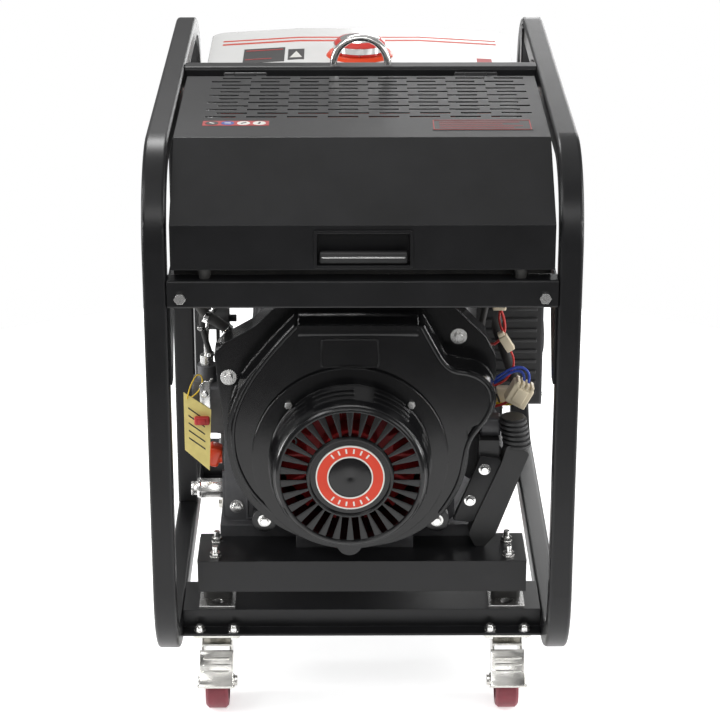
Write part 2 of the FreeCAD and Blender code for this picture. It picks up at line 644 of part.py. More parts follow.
head = box("cylinder_x-74", "front+cylinder_y-62", "barrel_top", "cylinder_x+74",
           "front+cylinder_y+62", "head_top")
grooves = []
for index in range(4):
    z = f"barrel_top+8+{index}*11"
    for x, xx in (("cylinder_x-75", "cylinder_x-50"), ("cylinder_x+50", "cylinder_x+75")):
        grooves.append(box(x, "front+cylinder_y-63", z, xx, "front+cylinder_y+40", f"{z}+6"))
node("cylinder_head", cut(rounded(head, "10", runs_along("Z")), *grooves))
rocker = box("cylinder_x-58", "front+cylinder_y-52", "head_top", "cylinder_x+58",
             "front+cylinder_y+52", "rocker_top")
node("rocker_cover", rounded(rounded(rocker, "14", runs_along("Z")), "6", lambda edge: all(
    abs(vertex.Z - value("rocker_top")) < 0.01 for vertex in edge.Vertexes)))

# fan housing: a deep back layer with bolt lugs and the raised volute in front of it
back_outline = [(-150, 330), (-184, 380), (-190, 440), (-197, 505), (-185, 518), (-145, 541),
                (-110, 575), (-95, 612), (90, 612), (110, 582), (138, 555), (165, 528),
                (179, 500), (179, 470), (150, 400), (120, 330)]
neck_outline = [(-88, 562), (-128, 518), (-165, 470), (-150, 400), (120, 400), (150, 420),
                (138, 497), (112, 502), (80, 562)]
back_layer = rounded(slab("XZ", back_outline, "front+housing_step", "front+case_near"), "9",
                     runs_along("Y"))
neck_layer = rounded(slab("XZ", neck_outline, "front+housing_near", "front+case_near"), "9",
                     runs_along("Y"))
lobes = [rod("Y", radius, "case_near-housing_near", x, "front+housing_near", z)
         for x, z, radius in ((-28, 400, 152), (0, 385, 142), (138, 457, 39))]
lugs = [rod("Y", "17", "case_near-housing_step", x, "front+housing_step", z)
        for x, z in ((-133, 260), (102.5, 260))]
lug_webs = [slab("XZ", [(-148, 262), (-128, 246), (-60, 290), (-110, 330)],
                 "front+housing_step", "front+case_near"),
            slab("XZ", [(117, 262), (98, 246), (30, 290), (80, 330)],
                 "front+housing_step", "front+case_near")]
duct = box(-78, "front+housing_near+5", 430, 68, "front+case_near-5", 548)
duct_up = box(-78, "front+housing_step+5", 500, 68, "front+case_near-5", 613)
well = along_crank("housing_near-1", "case_near-5", "fan_well")
shaft_hole = along_crank("housing_near", "case_near+1", "crank_radius+10")
blow_out = box(-60, "front+case_near-6", 450, 45, "front+case_near+1", 600)
lug_places = ((-178, 471), (128.5, 529), (-133, 260), (102.5, 260))
cover_places = ((-97, 453.5), (65, 453.5))
screw_holes = [rod("Y", "3.2", "60", x, "front+housing_step-1", z) for x, z in lug_places]
screw_holes += [rod("Y", "3.2", "14", x, "front+housing_near-1", z) for x, z in cover_places]
for x, z in lug_places[2:]:
    screw_holes.append(rod("Y", "11", "housing_step-housing_near+1", x, "front+housing_near-1",
                           z))
node("fan_housing", cut(fuse(back_layer, neck_layer, *lobes, *lugs, *lug_webs), duct, duct_up, well,
                        shaft_hole, blow_out, *screw_holes))

# fan cover: a slotted dome on a screw flange
dome = turned("Y", [("front+housing_near", "fan_well"), ("front+housing_near", "131"),
                    ("front+107", "131"), ("front+106", "107"), ("front+62", "104"),
                    ("front+53", "101"), ("front+cover_near", "95"), ("front+cover_near", "0"),
                    ("front+cover_near+3", "0"), ("front+cover_near+3", "93"),
                    ("front+57", "98"), ("front+64", "101")], "crank_x", "0", "crank_up")
slot_cutters = []
for index in range(30):
    wedge = doc.addObject("Part::Box", "slot")
    bind(wedge, Length="36", Width="9", Height="9")
    angle = 12.0 * index
    turn = FreeCAD.Rotation(Vector(0, 1, 0), angle)
    corner = turn.multVec(Vector(57, 0, -4.5))
    wedge.Placement = FreeCAD.Placement(corner, turn)
    wedge.setExpression("Placement.Base.x", expr(f"crank_x+({corner.x})"))
    wedge.setExpression("Placement.Base.y", expr("front+47"))
    wedge.setExpression("Placement.Base.z", expr(f"crank_up+({corner.z})"))
    slot_cutters.append(wedge)
cover_lip = rod("Y", "17", "5", "crank_x-1", "front+107", "crank_up-124")
cover_holes = [rod("Y", "3.2", "8", x, "front+106", z) for x, z in cover_places]
node("fan_cover", cut(fuse(dome, cut(cover_lip, along_crank("100", "120", "fan_well"))),
                      *slot_cutters, *cover_holes))

fan_bore = "crank_radius+seat_gap"
fan_disc = turned("Y", [("front+150", fan_bore), ("front+150", "60"),
                        ("front+158", "fan_radius"), ("front+190", "fan_radius"),
                        ("front+190", "crank_radius+30"), ("front+180", "crank_radius+12"),
                        ("front+180", fan_bore)], "crank_x", "0", "crank_up")
vanes = []
for index in range(14):
    vane = doc.addObject("Part::Box", "vane")
    bind(vane, Length="36", Width="34", Height="4")
    turn = FreeCAD.Rotation(Vector(0, 1, 0), 360.0 / 14 * index)
    corner = turn.multVec(Vector(58, 0, -2))
    vane.Placement = FreeCAD.Placement(corner, turn)
    vane.setExpression("Placement.Base.x", expr(f"crank_x+({corner.x})"))
    vane.setExpression("Placement.Base.y", expr("front+122"))
    vane.setExpression("Placement.Base.z", expr(f"crank_up+({corner.z})"))
    vanes.append(vane)
starter_cup = cut(along_crank("112", "150", "40"), along_crank("111", "146", "37"),
                  along_crank("140", "151", fan_bore))
node("flywheel_fan", fuse(fan_disc, *vanes, starter_cup))

journal = along_crank("114", "case_near+35", "crank_radius")
tail = along_crank("case_far-35", "case_far+5", "crank_radius")
webs = []
for near in ("case_near+35", "case_far-51"):
    webs.append(box("crank_x-26", f"front+{near}", "crank_up-58", "crank_x+26",
                    f"front+{near}+16", "crank_up+48"))
pin = rod("Y", "18", "case_far-case_near-70", "crank_x", "front+case_near+35", "crank_up+30")
node("crankshaft", fuse(journal, tail, pin, *webs))

# exhaust: flange, elbow, muffler drum and tail pipe
port_y = "front+cylinder_y+62"
drum = turned("X", [("-140", "0"), ("-140", "48"), ("-132", "58"), ("112", "58"), ("120", "48"),
                    ("120", "0")], "0", "front+388", "702")
riser = pipe([("cylinder_x", port_y, "572"), ("cylinder_x", "front+388", "572"),
              ("cylinder_x", "front+388", "650")], "16")
tail_pipe = pipe([("-138", "front+388", "702"), ("-196", "front+388", "702"),
                  ("-196", "front+388", "648"), ("-237", "front+388", "648")], "14")
flange = box("cylinder_x-32", port_y, "552", "cylinder_x+32", f"{port_y}+7", "592")
node("muffler", fuse(drum, riser, tail_pipe, flange))

# air cleaner: canister on an elbow from the intake port
canister = turned("Z", [("628", "0"), ("628", "50"), ("636", "62"), ("742", "62"), ("752", "54"),
                        ("752", "12"), ("760", "10"), ("760", "0")], "135", "front+262", "0")
elbow = pipe([("cylinder_x+74", "front+262", "576"), ("135", "front+262", "576"),
              ("135", "front+262", "632")], "19")
node("air_cleaner", fuse(canister, elbow))

# fuel injection: pump on the left of the case, steel pipe up to the injector in the head
pump_body = box("case_left-44", "front+226", "360", "case_left", "front+276", "430")
pump_top = rod("Z", "13", "24", "case_left-24", "front+251", "430")
bracket_plate = box("case_left-40", "front+206", "398", "case_left-24", "front+209", "446")
bracket_arm = box("case_left-40", "front+206", "398", "case_left-37", "front+228", "412")
lever_pin = fuse(rod("-X", "2.5", "7", "case_left-38", "front+217", "405"),
                 rod("-X", "4.5", "1.5", "case_left-43.3", "front+217", "405"))
node("injection_pump", fuse(rounded(pump_body, "5", runs_along("X")), pump_top, bracket_plate,
                            bracket_arm, lever_pin))
node("injector_pipe", fuse(
    pipe([("case_left-24", "front+251", "454"), ("case_left-24", "front+251", "520"),
          ("-160", "front+262", "590"), ("-110", "front+265", "632"),
          ("-76", "front+265", "640"), ("-76", "front+265", "606")], "3.5"),
    rod("Z", "9", "14", "case_left-24", "front+251", "454"),
    rod("Z", "7.4", "20", "-76", "front+265", "head_top")))
node("stop_solenoid", fuse(rod("X", "16", "44", "-226", "front+292", "506"),
                           box("-200", "front+280", "case_top", "-160", "front+304",
                               "case_top+4"),
                           box("-200", "front+280", "case_top", "-196", "front+304", "500"),
                           rod("X", "5", "10", "-182", "front+292", "506")))
lever_hole = rod("X", "2.5+running_gap", "10", "case_left-45", "front+217", "405")
lever_plate = slab("YZ", [("front+212", "399"), ("front+212", "411"), ("front+222", "411"),
                          ("front+222", "399"), ("front+204", "384"), ("front+196", "388")],
                   "case_left-43", "case_left-40.3")
node("speed_lever", cut(lever_plate, lever_hole))
starter = fuse(rod("Y", "33", "132", "case_right+36", "front+206", "330"),
               rod("Y", "17", "90", "case_right+36", "front+222", "376"),
               box("case_right", "front+208", "306", "case_right+30", "front+222", "354"))
node("starter_motor", starter)

node("oil_filler_cap", fuse(hexagon("-X", "30", "22", "case_left-3.3", "front+225", "330"),
                            rod("X", "8.9", "16", "case_left-4", "front+225", "330")))
node("oil_drain", fuse(hexagon("-X", "23", "45", "case_left-5", "front+250", "268"),
                       rod("X", "8.9", "20", "case_left-6", "front+250", "268"),
                       rod("-X", "13", "2", "case_left-50", "front+250", "268")))

screws = []
for (x, z), washer_round in zip(lug_places, ("11", "11", "9", "9")):
    screws.append(fuse(hexagon("-Y", "10", "6", x, "front+housing_step-1.5", z),
                       rod("Y", washer_round, "1.5", x, "front+housing_step-1.5", z),
                       rod("Y", "3", "38", x, "front+housing_step-1", z)))
for x, z in cover_places:
    screws.append(fuse(hexagon("-Y", "9", "5", x, "front+106", z),
                       rod("Y", "3", "14", x, "front+105", z)))
node("engine_screws", *screws)

# ---- alternator -----------------------------------------------------------------------------
radius = "alternator_radius"
wall = "alternator_wall"
shell = turned("Y", [("front+case_far", "112"), ("front+case_far+25", radius),
                     ("front+alternator_far-12", radius), ("front+alternator_far", f"{radius}-14"),
                     ("front+alternator_far", "rotor_shaft+running_gap"),
                     (f"front+alternator_far-{wall}", "rotor_shaft+running_gap"),
                     (f"front+alternator_far-{wall}", f"{radius}-{wall}-8"),
                     (f"front+alternator_far-{wall}-8", f"{radius}-{wall}"),
                     (f"front+case_far+25+{wall}", f"{radius}-{wall}"),
                     ("front+case_far+4", "106"), ("front+case_far", "106")],
               "crank_x", "0", "crank_up")
feet = box("crank_x-95", "front+case_far+308", "beam_top", "crank_x+95", "front+alternator_far-4",
           "crank_up-118")
vents = []
for index in range(12):
    slot = doc.addObject("Part::Box", "vent")
    bind(slot, Length="50", Width="30", Height="12")
    turn = FreeCAD.Rotation(Vector(0, 1, 0), 30.0 * index + 15)
    corner = turn.multVec(Vector(62, 0, -6))
    slot.Placement = FreeCAD.Placement(corner, turn)
    slot.setExpression("Placement.Base.x", expr(f"crank_x+({corner.x})"))
    slot.setExpression("Placement.Base.y", expr("front+alternator_far-20"))
    slot.setExpression("Placement.Base.z", expr(f"crank_up+({corner.z})"))
    vents.append(slot)
inside = along_crank("case_far+40", "alternator_far-20", f"{radius}-{wall}-0.5")
node("alternator_housing", cut(fuse(shell, cut(feet, inside)), *vents))
stator_round = f"{radius}-{wall}-seat_gap"
node("alternator_stator", cut(along_crank("stator_near", "stator_far", stator_round),
                              along_crank("stator_near-1", "stator_far+1", "stator_bore")))
node("alternator_rotor", fuse(along_crank("stator_near-5", "stator_far+5", "rotor_radius"),
                              along_crank("case_far+5", "alternator_far+8", "rotor_shaft")))


# ---- fuel tank ------------------------------------------------------------------------------
def tank_solid(inset):
    outline = [(f"-tank_half+{inset}", f"tank_low+{inset}")]
    outline.append((f"-tank_half+{inset}", f"tank_top-3-{inset}"))
    outline.append(("-tank_half*0.4", f"tank_crown-{inset}"))
    outline.append(("tank_half*0.4", f"tank_crown-{inset}"))
    outline.append((f"tank_half-{inset}", f"tank_top-3-{inset}"))
    outline.append((f"tank_half-{inset}", f"tank_low+{inset}"))
    body = slab("XZ", outline, f"front+tank_near+{inset}", f"front+tank_far-{inset}")
    return rounded(body, f"tank_round-{inset}", runs_along("Z"))


neck = rod("Z", "filler_radius", "16", 0, "front+filler_y", "tank_crown-8")
neck_bore = rod("Z", "filler_radius-3", "30", 0, "front+filler_y", "tank_crown-16")
node("fuel_tank", cut(fuse(tank_solid("0"), neck), tank_solid("tank_wall"), neck_bore))
ring = cut(cone("Z", "filler_ring", "filler_ring-4", "5", 0, "front+filler_y", "tank_crown"),
           rod("Z", "filler_radius+0.1", "8", 0, "front+filler_y", "tank_crown-1"))
node("filler_ring", ring)
cap = turned("Z", [("tank_crown+5.3", "filler_radius+0.3"), ("tank_crown+5.3", "cap_radius"),
                   ("tank_crown+20", "cap_radius"), ("tank_crown+25", "cap_radius-6"),
                   ("tank_crown+25", "0"), ("tank_crown+8.3", "0"),
                   ("tank_crown+8.3", "filler_radius+0.3")], "0", "front+filler_y", "0")
grip_cuts = [rod("Z", "3", "22", f"{x}", f"front+filler_y+({y})", "tank_crown+4")
             for x, y in ((39.5, 0), (27.9, 27.9), (0, 39.5), (-27.9, 27.9), (-39.5, 0),
                          (-27.9, -27.9), (0, -39.5), (27.9, -27.9))]
node("fuel_cap", cut(cap, *grip_cuts))

# ---- battery --------------------------------------------------------------------------------
case = box("-battery_long/2", "front+battery_near", tray_top, "battery_long/2",
           "front+battery_near+battery_deep", f"{tray_top}+battery_high-6")
lid = box("-battery_long/2+3", "front+battery_near+3", f"{tray_top}+battery_high-6",
          "battery_long/2-3", "front+battery_near+battery_deep-3", f"{tray_top}+battery_high")
posts = [rod("Z", "8", "14", f"{side}*(battery_long/2-20)", "front+battery_near+18",
             f"{tray_top}+battery_high") for side in (-1, 1)]
node("battery", fuse(rounded(case, "4", runs_along("Z")), lid, *posts))

# ---- control box on the right side ----------------------------------------------------------
outer_box = rounded(box("box_left", "front+box_near", "box_low", "box_right", "front+box_far",
                        "box_top"), "6", runs_along("X"))
inner_box = box("box_left+2", "front+box_near+2", "box_low+2", "box_right+1", "front+box_far-2",
                "box_top-2")
cable_entry = rod("Y", "7+seat_gap", "8", "box_left+30", "front+box_near-2", "box_top-120")
node("control_box", cut(outer_box, inner_box, cable_entry))

face = "box_right+panel_thick"
knob_place = ("front+480", "535")
key_place = ("front+580", "535")
switch_place = ("front+685", "535")
socket_places = (("front+465", "415"), ("front+545", "415"))
terminal_places = (("front+640", "400"), ("front+712", "400"))
panel = rounded(box("box_right", "front+box_near", "box_low", face, "front+box_far", "box_top"),
                "6", runs_along("X"))
panel_holes = [rod("X", "4+running_gap", "6", "box_right-1", *knob_place),
               rod("X", "6+running_gap", "6", "box_right-1", *key_place),
               box("box_right-1", "front+685-10", "535-18", f"{face}+1", "front+685+10", "535+18")]
panel_holes += [rod("X", "20", "6", "box_right-1", *place) for place in socket_places]
panel_holes += [rod("X", "9", "6", "box_right-1", *place) for place in terminal_places]
frame_ring = cut(box(face, "front+685-14", "535-22", f"{face}+3", "front+685+14", "535+22"),
                 box("box_right", "front+685-10", "535-18", f"{face}+4", "front+685+10",
                     "535+18"))
meter = fuse(rod("X", "19", "4", face, "front+632", "560"))
node("control_panel", fuse(cut(panel, *panel_holes), frame_ring, meter))

knob = fuse(rod("X", "knob_radius", "12", f"{face}+0.3", *knob_place),
            rod("X", "4", "16", "box_right-12", *knob_place))
node("current_knob", cut(knob, *[rod("X", "4", "14", f"{face}", f"{knob_place[0]}+({y})",
                                     f"{knob_place[1]}+({z})")
                                 for y, z in ((0, 22), (19, 11), (19, -11), (0, -22),
                                              (-19, -11), (-19, 11))]))
key_parts = [rod("X", "key_radius", "4", f"{face}+0.3", *key_place),
             rod("X", "6", "22", "box_right-18", *key_place),
             box(f"{face}+4", "front+580-1.2", "535-9", f"{face}+13", "front+580+1.2", "535+9")]
node("key_switch", fuse(*key_parts))
rocker_outline = [("box_right-7", "535-10"), ("box_right-7", "535+10"), (f"{face}+0.5", "535+15"),
                  (f"{face}+6", "535+13"), (f"{face}+2.5", "535"), (f"{face}+1", "535-15")]
node("breaker_switch", slab("XZ", rocker_outline, "front+685-9.5", "front+685+9.5"))
outlets = []
for y, z in socket_places:
    ring_part = cut(rod("X", "25", "5", face, y, z), rod("X", "17", "8", f"{face}+2.5", y, z))
    outlets.append(fuse(ring_part, rod("X", "19.9", "20", "box_right-17", y, z)))
for y, z in terminal_places:
    outlets.append(fuse(rod("X", "17", "5", face, y, z), rod("X", "8.9", "20", "box_right-12", y, z),
                        hexagon("X", "19", "7", f"{face}+5", y, z)))
node("panel_sockets", *outlets)

# ---- starter side duct with its corrugated boot, wiring -------------------------------------
duct_outline = [(196, 375), (226.6, 363), (182, 240.7), (168, "beam_top+0.3"),
                (154.7, "beam_top+0.3"), (145.7, 242), (154.7, 266.7), (189, 348.6)]
cover_outline = [(125, 257), (143, 302), (161.6, 351), (189, 348.6), (154.7, 266.7)]
duct_body = rounded(slab("XZ", duct_outline, "front+152", "front+184"), "5", runs_along("Y"))
duct_wing = slab("XZ", cover_outline, "front+168", "front+176")
duct_block = box(158, "front+160", 350, 186, "front+186", 378)
boot_parts = []
for index in range(6):
    lift = 7 * index
    boot_parts.append(rod("Z", "19", "4", f"210-{0.18 * lift}", "front+168", f"368+{lift}"))
    boot_parts.append(rod("Z", "16", "7", f"210-{0.18 * lift}", "front+168", f"368+{lift}"))
duct_all = fuse(duct_body, duct_wing, duct_block, *boot_parts)
duct_foot = box(158, "front+170", "beam_top", 166, "front+180", "beam_top+2")
node("side_duct", fuse(duct_all, duct_foot))

# panel cable down to the plug on the duct, the lead of the small plug, the starter conduit
panel_cable = pipe([("box_left+30", "front+box_near+1", "box_top-120"),
                    ("box_left+30", "front+360", "480"), ("box_left+22", "front+320", "486"),
                    ("box_left+30", "front+285", "470"), ("205", "front+250", "446"),
                    ("209", "front+232", "438"), ("210", "front+213", "436")], "7")
boot_plug = box(196, "front+190", 420, 224, "front+214", 452)
small_lead = pipe([("150", "front+case_near", "480"), ("150", "front+218", "480"),
                   ("176", "front+222", "490"), ("192", "front+216", "506"),
                   ("194", "front+212", "530"), ("186", "front+212", "550")], "2")
small_plug = box(176, "front+204", 548, 194, "front+220", 574)
starter_lead = pipe([("box_left+60", "front+box_near", "box_top-12"),
                     ("box_left+59", "front+345", "box_top-15"), ("160", "front+310", "520"),
                     ("case_right+36", "front+300", "393")], "4.5")
node("wiring_loom", fuse(panel_cable, boot_plug), fuse(small_lead, small_plug), starter_lead)

# ---- checks and files -----------------------------------------------------------------------
doc.recompute()
for item in doc.Objects:
    for state in item.State:
        if state in ("Invalid", "Error"):
            raise RuntimeError(f"{item.Label} ({item.TypeId}) is {state}")
names = [item.Label for item in nodes]
if len(names) != len(set(names)) or len(names) > 60:
    raise RuntimeError(f"{len(names)} sub-parts, {len(set(names))} names")
for item in nodes:
    shape = item.Shape
    if shape.isNull() or not shape.isValid() or not shape.Solids:
        raise RuntimeError(f"{item.Label} has no valid solid")
for item in nodes:
    item.Shape.exportStep(f"parts/{item.Label}.step")
    print(item.Label, len(item.Shape.Solids), "solids", round(item.Shape.Volume), "mm3")
print(len(nodes), "sub-parts")
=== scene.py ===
import json
import math

import bpy
from mathutils import Matrix, Vector


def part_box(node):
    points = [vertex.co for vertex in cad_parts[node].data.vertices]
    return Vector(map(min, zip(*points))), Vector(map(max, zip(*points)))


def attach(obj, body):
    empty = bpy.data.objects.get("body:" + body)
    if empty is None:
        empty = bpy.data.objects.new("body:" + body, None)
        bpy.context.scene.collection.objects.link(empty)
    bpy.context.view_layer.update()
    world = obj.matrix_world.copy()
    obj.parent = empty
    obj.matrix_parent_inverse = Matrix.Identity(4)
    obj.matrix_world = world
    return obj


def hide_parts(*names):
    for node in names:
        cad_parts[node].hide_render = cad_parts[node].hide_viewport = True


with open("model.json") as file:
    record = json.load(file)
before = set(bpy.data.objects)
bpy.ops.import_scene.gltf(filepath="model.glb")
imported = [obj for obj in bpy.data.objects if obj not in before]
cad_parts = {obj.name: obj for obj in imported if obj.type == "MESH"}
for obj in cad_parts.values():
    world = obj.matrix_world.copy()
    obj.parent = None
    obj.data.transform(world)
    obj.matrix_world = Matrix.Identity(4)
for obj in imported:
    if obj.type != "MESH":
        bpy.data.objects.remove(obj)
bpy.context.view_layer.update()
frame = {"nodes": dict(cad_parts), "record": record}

mm = 0.001
nodes = frame["nodes"]
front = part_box("left_hoop")[0].y  # front plane of the side hoops
coverLow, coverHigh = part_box("fan_cover")
crankX = (coverLow.x + coverHigh.x) / 2 / mm  # the crankshaft's axis, in millimetres
crankZ = 373.5


def at(x, y, z):  # a place in millimetres, y counted back from the front of the hoops
    return (x * mm, front + y * mm, z * mm)


def placed(*points):
    return [at(*point) for point in points]


def section(base, *pairs):  # pairs in millimetres, the first of each counted from the base
    return [((base + along) * mm, across * mm) for along, across in pairs]


# ---- materials: a small language for shader nodes ----
class Wire:  # one socket of a node tree, with arithmetic
    def __init__(self, tree, socket):
        self.tree = tree
        self.socket = socket

    def joinedBy(self, operation, other):
        node = self.tree.nodes.new("ShaderNodeMath")
        node.operation = operation
        connect(self.tree, self, node.inputs[0])
        connect(self.tree, other, node.inputs[1])
        return Wire(self.tree, node.outputs[0])

    def swapped(self, operation, other):
        node = self.tree.nodes.new("ShaderNodeMath")
        node.operation = operation
        connect(self.tree, other, node.inputs[0])
        connect(self.tree, self, node.inputs[1])
        return Wire(self.tree, node.outputs[0])

    def __add__(self, other):
        return self.joinedBy("ADD", other)

    def __radd__(self, other):
        return self.joinedBy("ADD", other)

    def __sub__(self, other):
        return self.joinedBy("SUBTRACT", other)

    def __rsub__(self, other):
        return self.swapped("SUBTRACT", other)

    def __mul__(self, other):
        return self.joinedBy("MULTIPLY", other)

    def __rmul__(self, other):
        return self.joinedBy("MULTIPLY", other)

    def above(self, limit, soft=0.05):  # 0 below the limit, 1 above it
        return self.make("ShaderNodeMapRange", 0, Value=self, **{
            "From Min": limit - soft, "From Max": limit + soft})

    def between(self, low, high):  # 0..1 stretched to low..high
        return self.make("ShaderNodeMapRange", 0, Value=self, **{"To Min": low, "To Max": high})

    def make(self, kind, output, **inputs):  # any other node
        node = self.tree.nodes.new(kind)
        for name, item in inputs.items():
            if hasattr(node, name) and not isinstance(item, Wire):
                setattr(node, name, item)
        for name, item in inputs.items():
            if not (hasattr(node, name) and not isinstance(item, Wire)):
                connect(self.tree, item, node.inputs[name])
        return Wire(self.tree, node.outputs[output])


def connect(tree, item, socket):
    if isinstance(item, Wire):
        tree.links.new(item.socket, socket)
    elif hasattr(socket.default_value, "__len__") and not hasattr(item, "__len__"):
        socket.default_value = [item] * len(socket.default_value)
    elif hasattr(item, "__len__") and len(item) == 3 and socket.type == "RGBA":
        socket.default_value = (*item, 1)
    else:
        socket.default_value = item


def blendColour(wire, factor, first, second):
    node = wire.tree.nodes.new("ShaderNodeMix")
    node.data_type = "RGBA"
    connect(wire.tree, factor, node.inputs["Factor"])
    connect(wire.tree, first, node.inputs[6])
    connect(wire.tree, second, node.inputs[7])
    return Wire(wire.tree, node.outputs[2])


def newMaterial(name):
    material = bpy.data.materials.new(name)
    material.use_nodes = True
    shader = material.node_tree.nodes["Principled BSDF"]
    coordinates = material.node_tree.nodes.new("ShaderNodeTexCoord")
    return material, shader, Wire(material.node_tree, coordinates.outputs["Object"])


def scaledPlace(place, stretch):
    return place.make("ShaderNodeMapping", 0, Vector=place, Scale=stretch)


def surface(name, settings):
    # colour drift, grain, speckle and soft edges, shared by most finishes
    material, shader, place = newMaterial(name)
    grain = settings.get("grain", 900)
    stretched = scaledPlace(place, settings.get("stretch", (1, 1, 1)))
    fine = place.make("ShaderNodeTexNoise", 0, Vector=stretched, Scale=grain, Detail=3,
                      Roughness=0.6)
    broad = place.make("ShaderNodeTexNoise", 0, Vector=place, Scale=settings.get("drift", 14),
                       Detail=5, Roughness=0.62)
    drift = broad.above(0.5, 0.22)
    colour = blendColour(place, drift, settings["colour"], settings["second"])
    if "speck" in settings:  # dust, dark pits or flakes
        dots = place.make("ShaderNodeTexVoronoi", 0, Vector=place,
                          Scale=settings.get("speckScale", 420))
        amount = (1 - dots.above(settings.get("speckSize", 0.16), 0.05)) * broad.above(0.52, 0.1)
        colour = blendColour(place, amount * 0.6, colour, settings["speck"])
    connect(place.tree, colour, shader.inputs["Base Color"])
    low, high = settings["rough"]
    rough = (fine * 0.45 + broad * 0.55).between(low, high)
    connect(place.tree, rough, shader.inputs["Roughness"])
    shader.inputs["Metallic"].default_value = settings.get("metal", 0)
    shader.inputs["Coat Weight"].default_value = settings.get("coat", 0)
    shader.inputs["Coat Roughness"].default_value = 0.12
    shader.inputs["Specular IOR Level"].default_value = settings.get("shine", 0.5)
    height = fine * 0.7 + broad * 0.3
    if "pits" in settings:
        cells = place.make("ShaderNodeTexVoronoi", 0, Vector=place, Scale=settings["pits"])
        height = height + cells * 0.8
    soft = place.make("ShaderNodeBevel", 0, samples=4, Radius=settings.get("edge", 0.0012))
    bump = place.make("ShaderNodeBump", 0, Height=height, Strength=settings.get("bump", 0.12),
                      Distance=settings.get("depth", 0.0004), Normal=soft)
    connect(place.tree, bump, shader.inputs["Normal"])
    return material


finishes = {
    "frame_black": dict(colour=(0.005, 0.005, 0.0055), second=(0.009, 0.009, 0.01), rough=(0.26, 0.44),
                        grain=1500, bump=0.16, speck=(0.07, 0.068, 0.065), speckSize=0.07,
                        edge=0.0016, shine=0.34),
    "bare_steel": dict(colour=(0.8, 0.79, 0.77), second=(0.66, 0.66, 0.65), rough=(0.16, 0.36),
                       metal=1, grain=700, stretch=(1, 1, 5), bump=0.1, edge=0.0006),
    "caster_zinc": dict(colour=(0.74, 0.73, 0.7), second=(0.55, 0.54, 0.5), rough=(0.14, 0.36),
                        metal=1, grain=500, drift=30, bump=0.12, edge=0.0012,
                        speck=(0.25, 0.22, 0.18), speckSize=0.1),
    "wheel_maroon": dict(colour=(0.2, 0.018, 0.032), second=(0.14, 0.012, 0.022), rough=(0.35, 0.6),
                         grain=800, bump=0.12, edge=0.003, speck=(0.3, 0.2, 0.18), drift=40),
    "rubber_black": dict(colour=(0.02, 0.02, 0.02), second=(0.045, 0.043, 0.04), rough=(0.6, 0.85),
                         grain=900, bump=0.25, edge=0.0016, drift=40),
    "engine_grey": dict(colour=(0.15, 0.15, 0.155), second=(0.09, 0.09, 0.095), rough=(0.4, 0.62),
                        metal=0.75, grain=600, bump=0.5, depth=0.0006, pits=700, edge=0.002),
    "cylinder_iron": dict(colour=(0.07, 0.065, 0.06), second=(0.12, 0.09, 0.07), rough=(0.5, 0.75),
                          metal=0.5, grain=500, bump=0.5, pits=600, edge=0.001),
    "head_aluminium": dict(colour=(0.42, 0.42, 0.42), second=(0.3, 0.3, 0.3), rough=(0.35, 0.6),
                           metal=0.9, grain=600, bump=0.45, pits=700, edge=0.0012),
    "engine_black": dict(colour=(0.0035, 0.0035, 0.004), second=(0.007, 0.007, 0.0075),
                         rough=(0.1, 0.24), grain=1100, bump=0.1, coat=0.25, edge=0.0035, shine=0.3,
                         speck=(0.05, 0.05, 0.05), speckSize=0.06),
    "fan_red": dict(colour=(0.55, 0.02, 0.022), second=(0.4, 0.015, 0.018), rough=(0.35, 0.55),
                    grain=700, bump=0.15, edge=0.001),
    "plastic_black": dict(colour=(0.013, 0.013, 0.014), second=(0.024, 0.024, 0.024),
                          rough=(0.38, 0.6), grain=1300, bump=0.22, pits=1400, edge=0.0012),
    "alternator_grey": dict(colour=(0.055, 0.055, 0.06), second=(0.035, 0.035, 0.038),
                            rough=(0.32, 0.5), grain=900, bump=0.2, edge=0.002, coat=0.2),
    "winding_steel": dict(colour=(0.3, 0.13, 0.05), second=(0.16, 0.08, 0.04), rough=(0.35, 0.6),
                          metal=0.7, grain=350, stretch=(1, 6, 1), bump=0.4, edge=0.0005),
    "tank_white": dict(colour=(0.88, 0.88, 0.87), second=(0.83, 0.83, 0.81), rough=(0.16, 0.3),
                       grain=500, bump=0.06, coat=0.5, edge=0.003),
    "cap_orange": dict(colour=(0.8, 0.06, 0.004), second=(0.7, 0.045, 0.003), rough=(0.26, 0.42),
                       grain=900, bump=0.1, edge=0.0012, coat=0.3),
    "cap_red": dict(colour=(0.6, 0.03, 0.02), second=(0.5, 0.02, 0.014), rough=(0.22, 0.4),
                    grain=900, bump=0.1, edge=0.0014, coat=0.3),
}
thin = dict(rough=(0.35, 0.5), bump=0.05, edge=0.0003)  # what most of the next finishes share
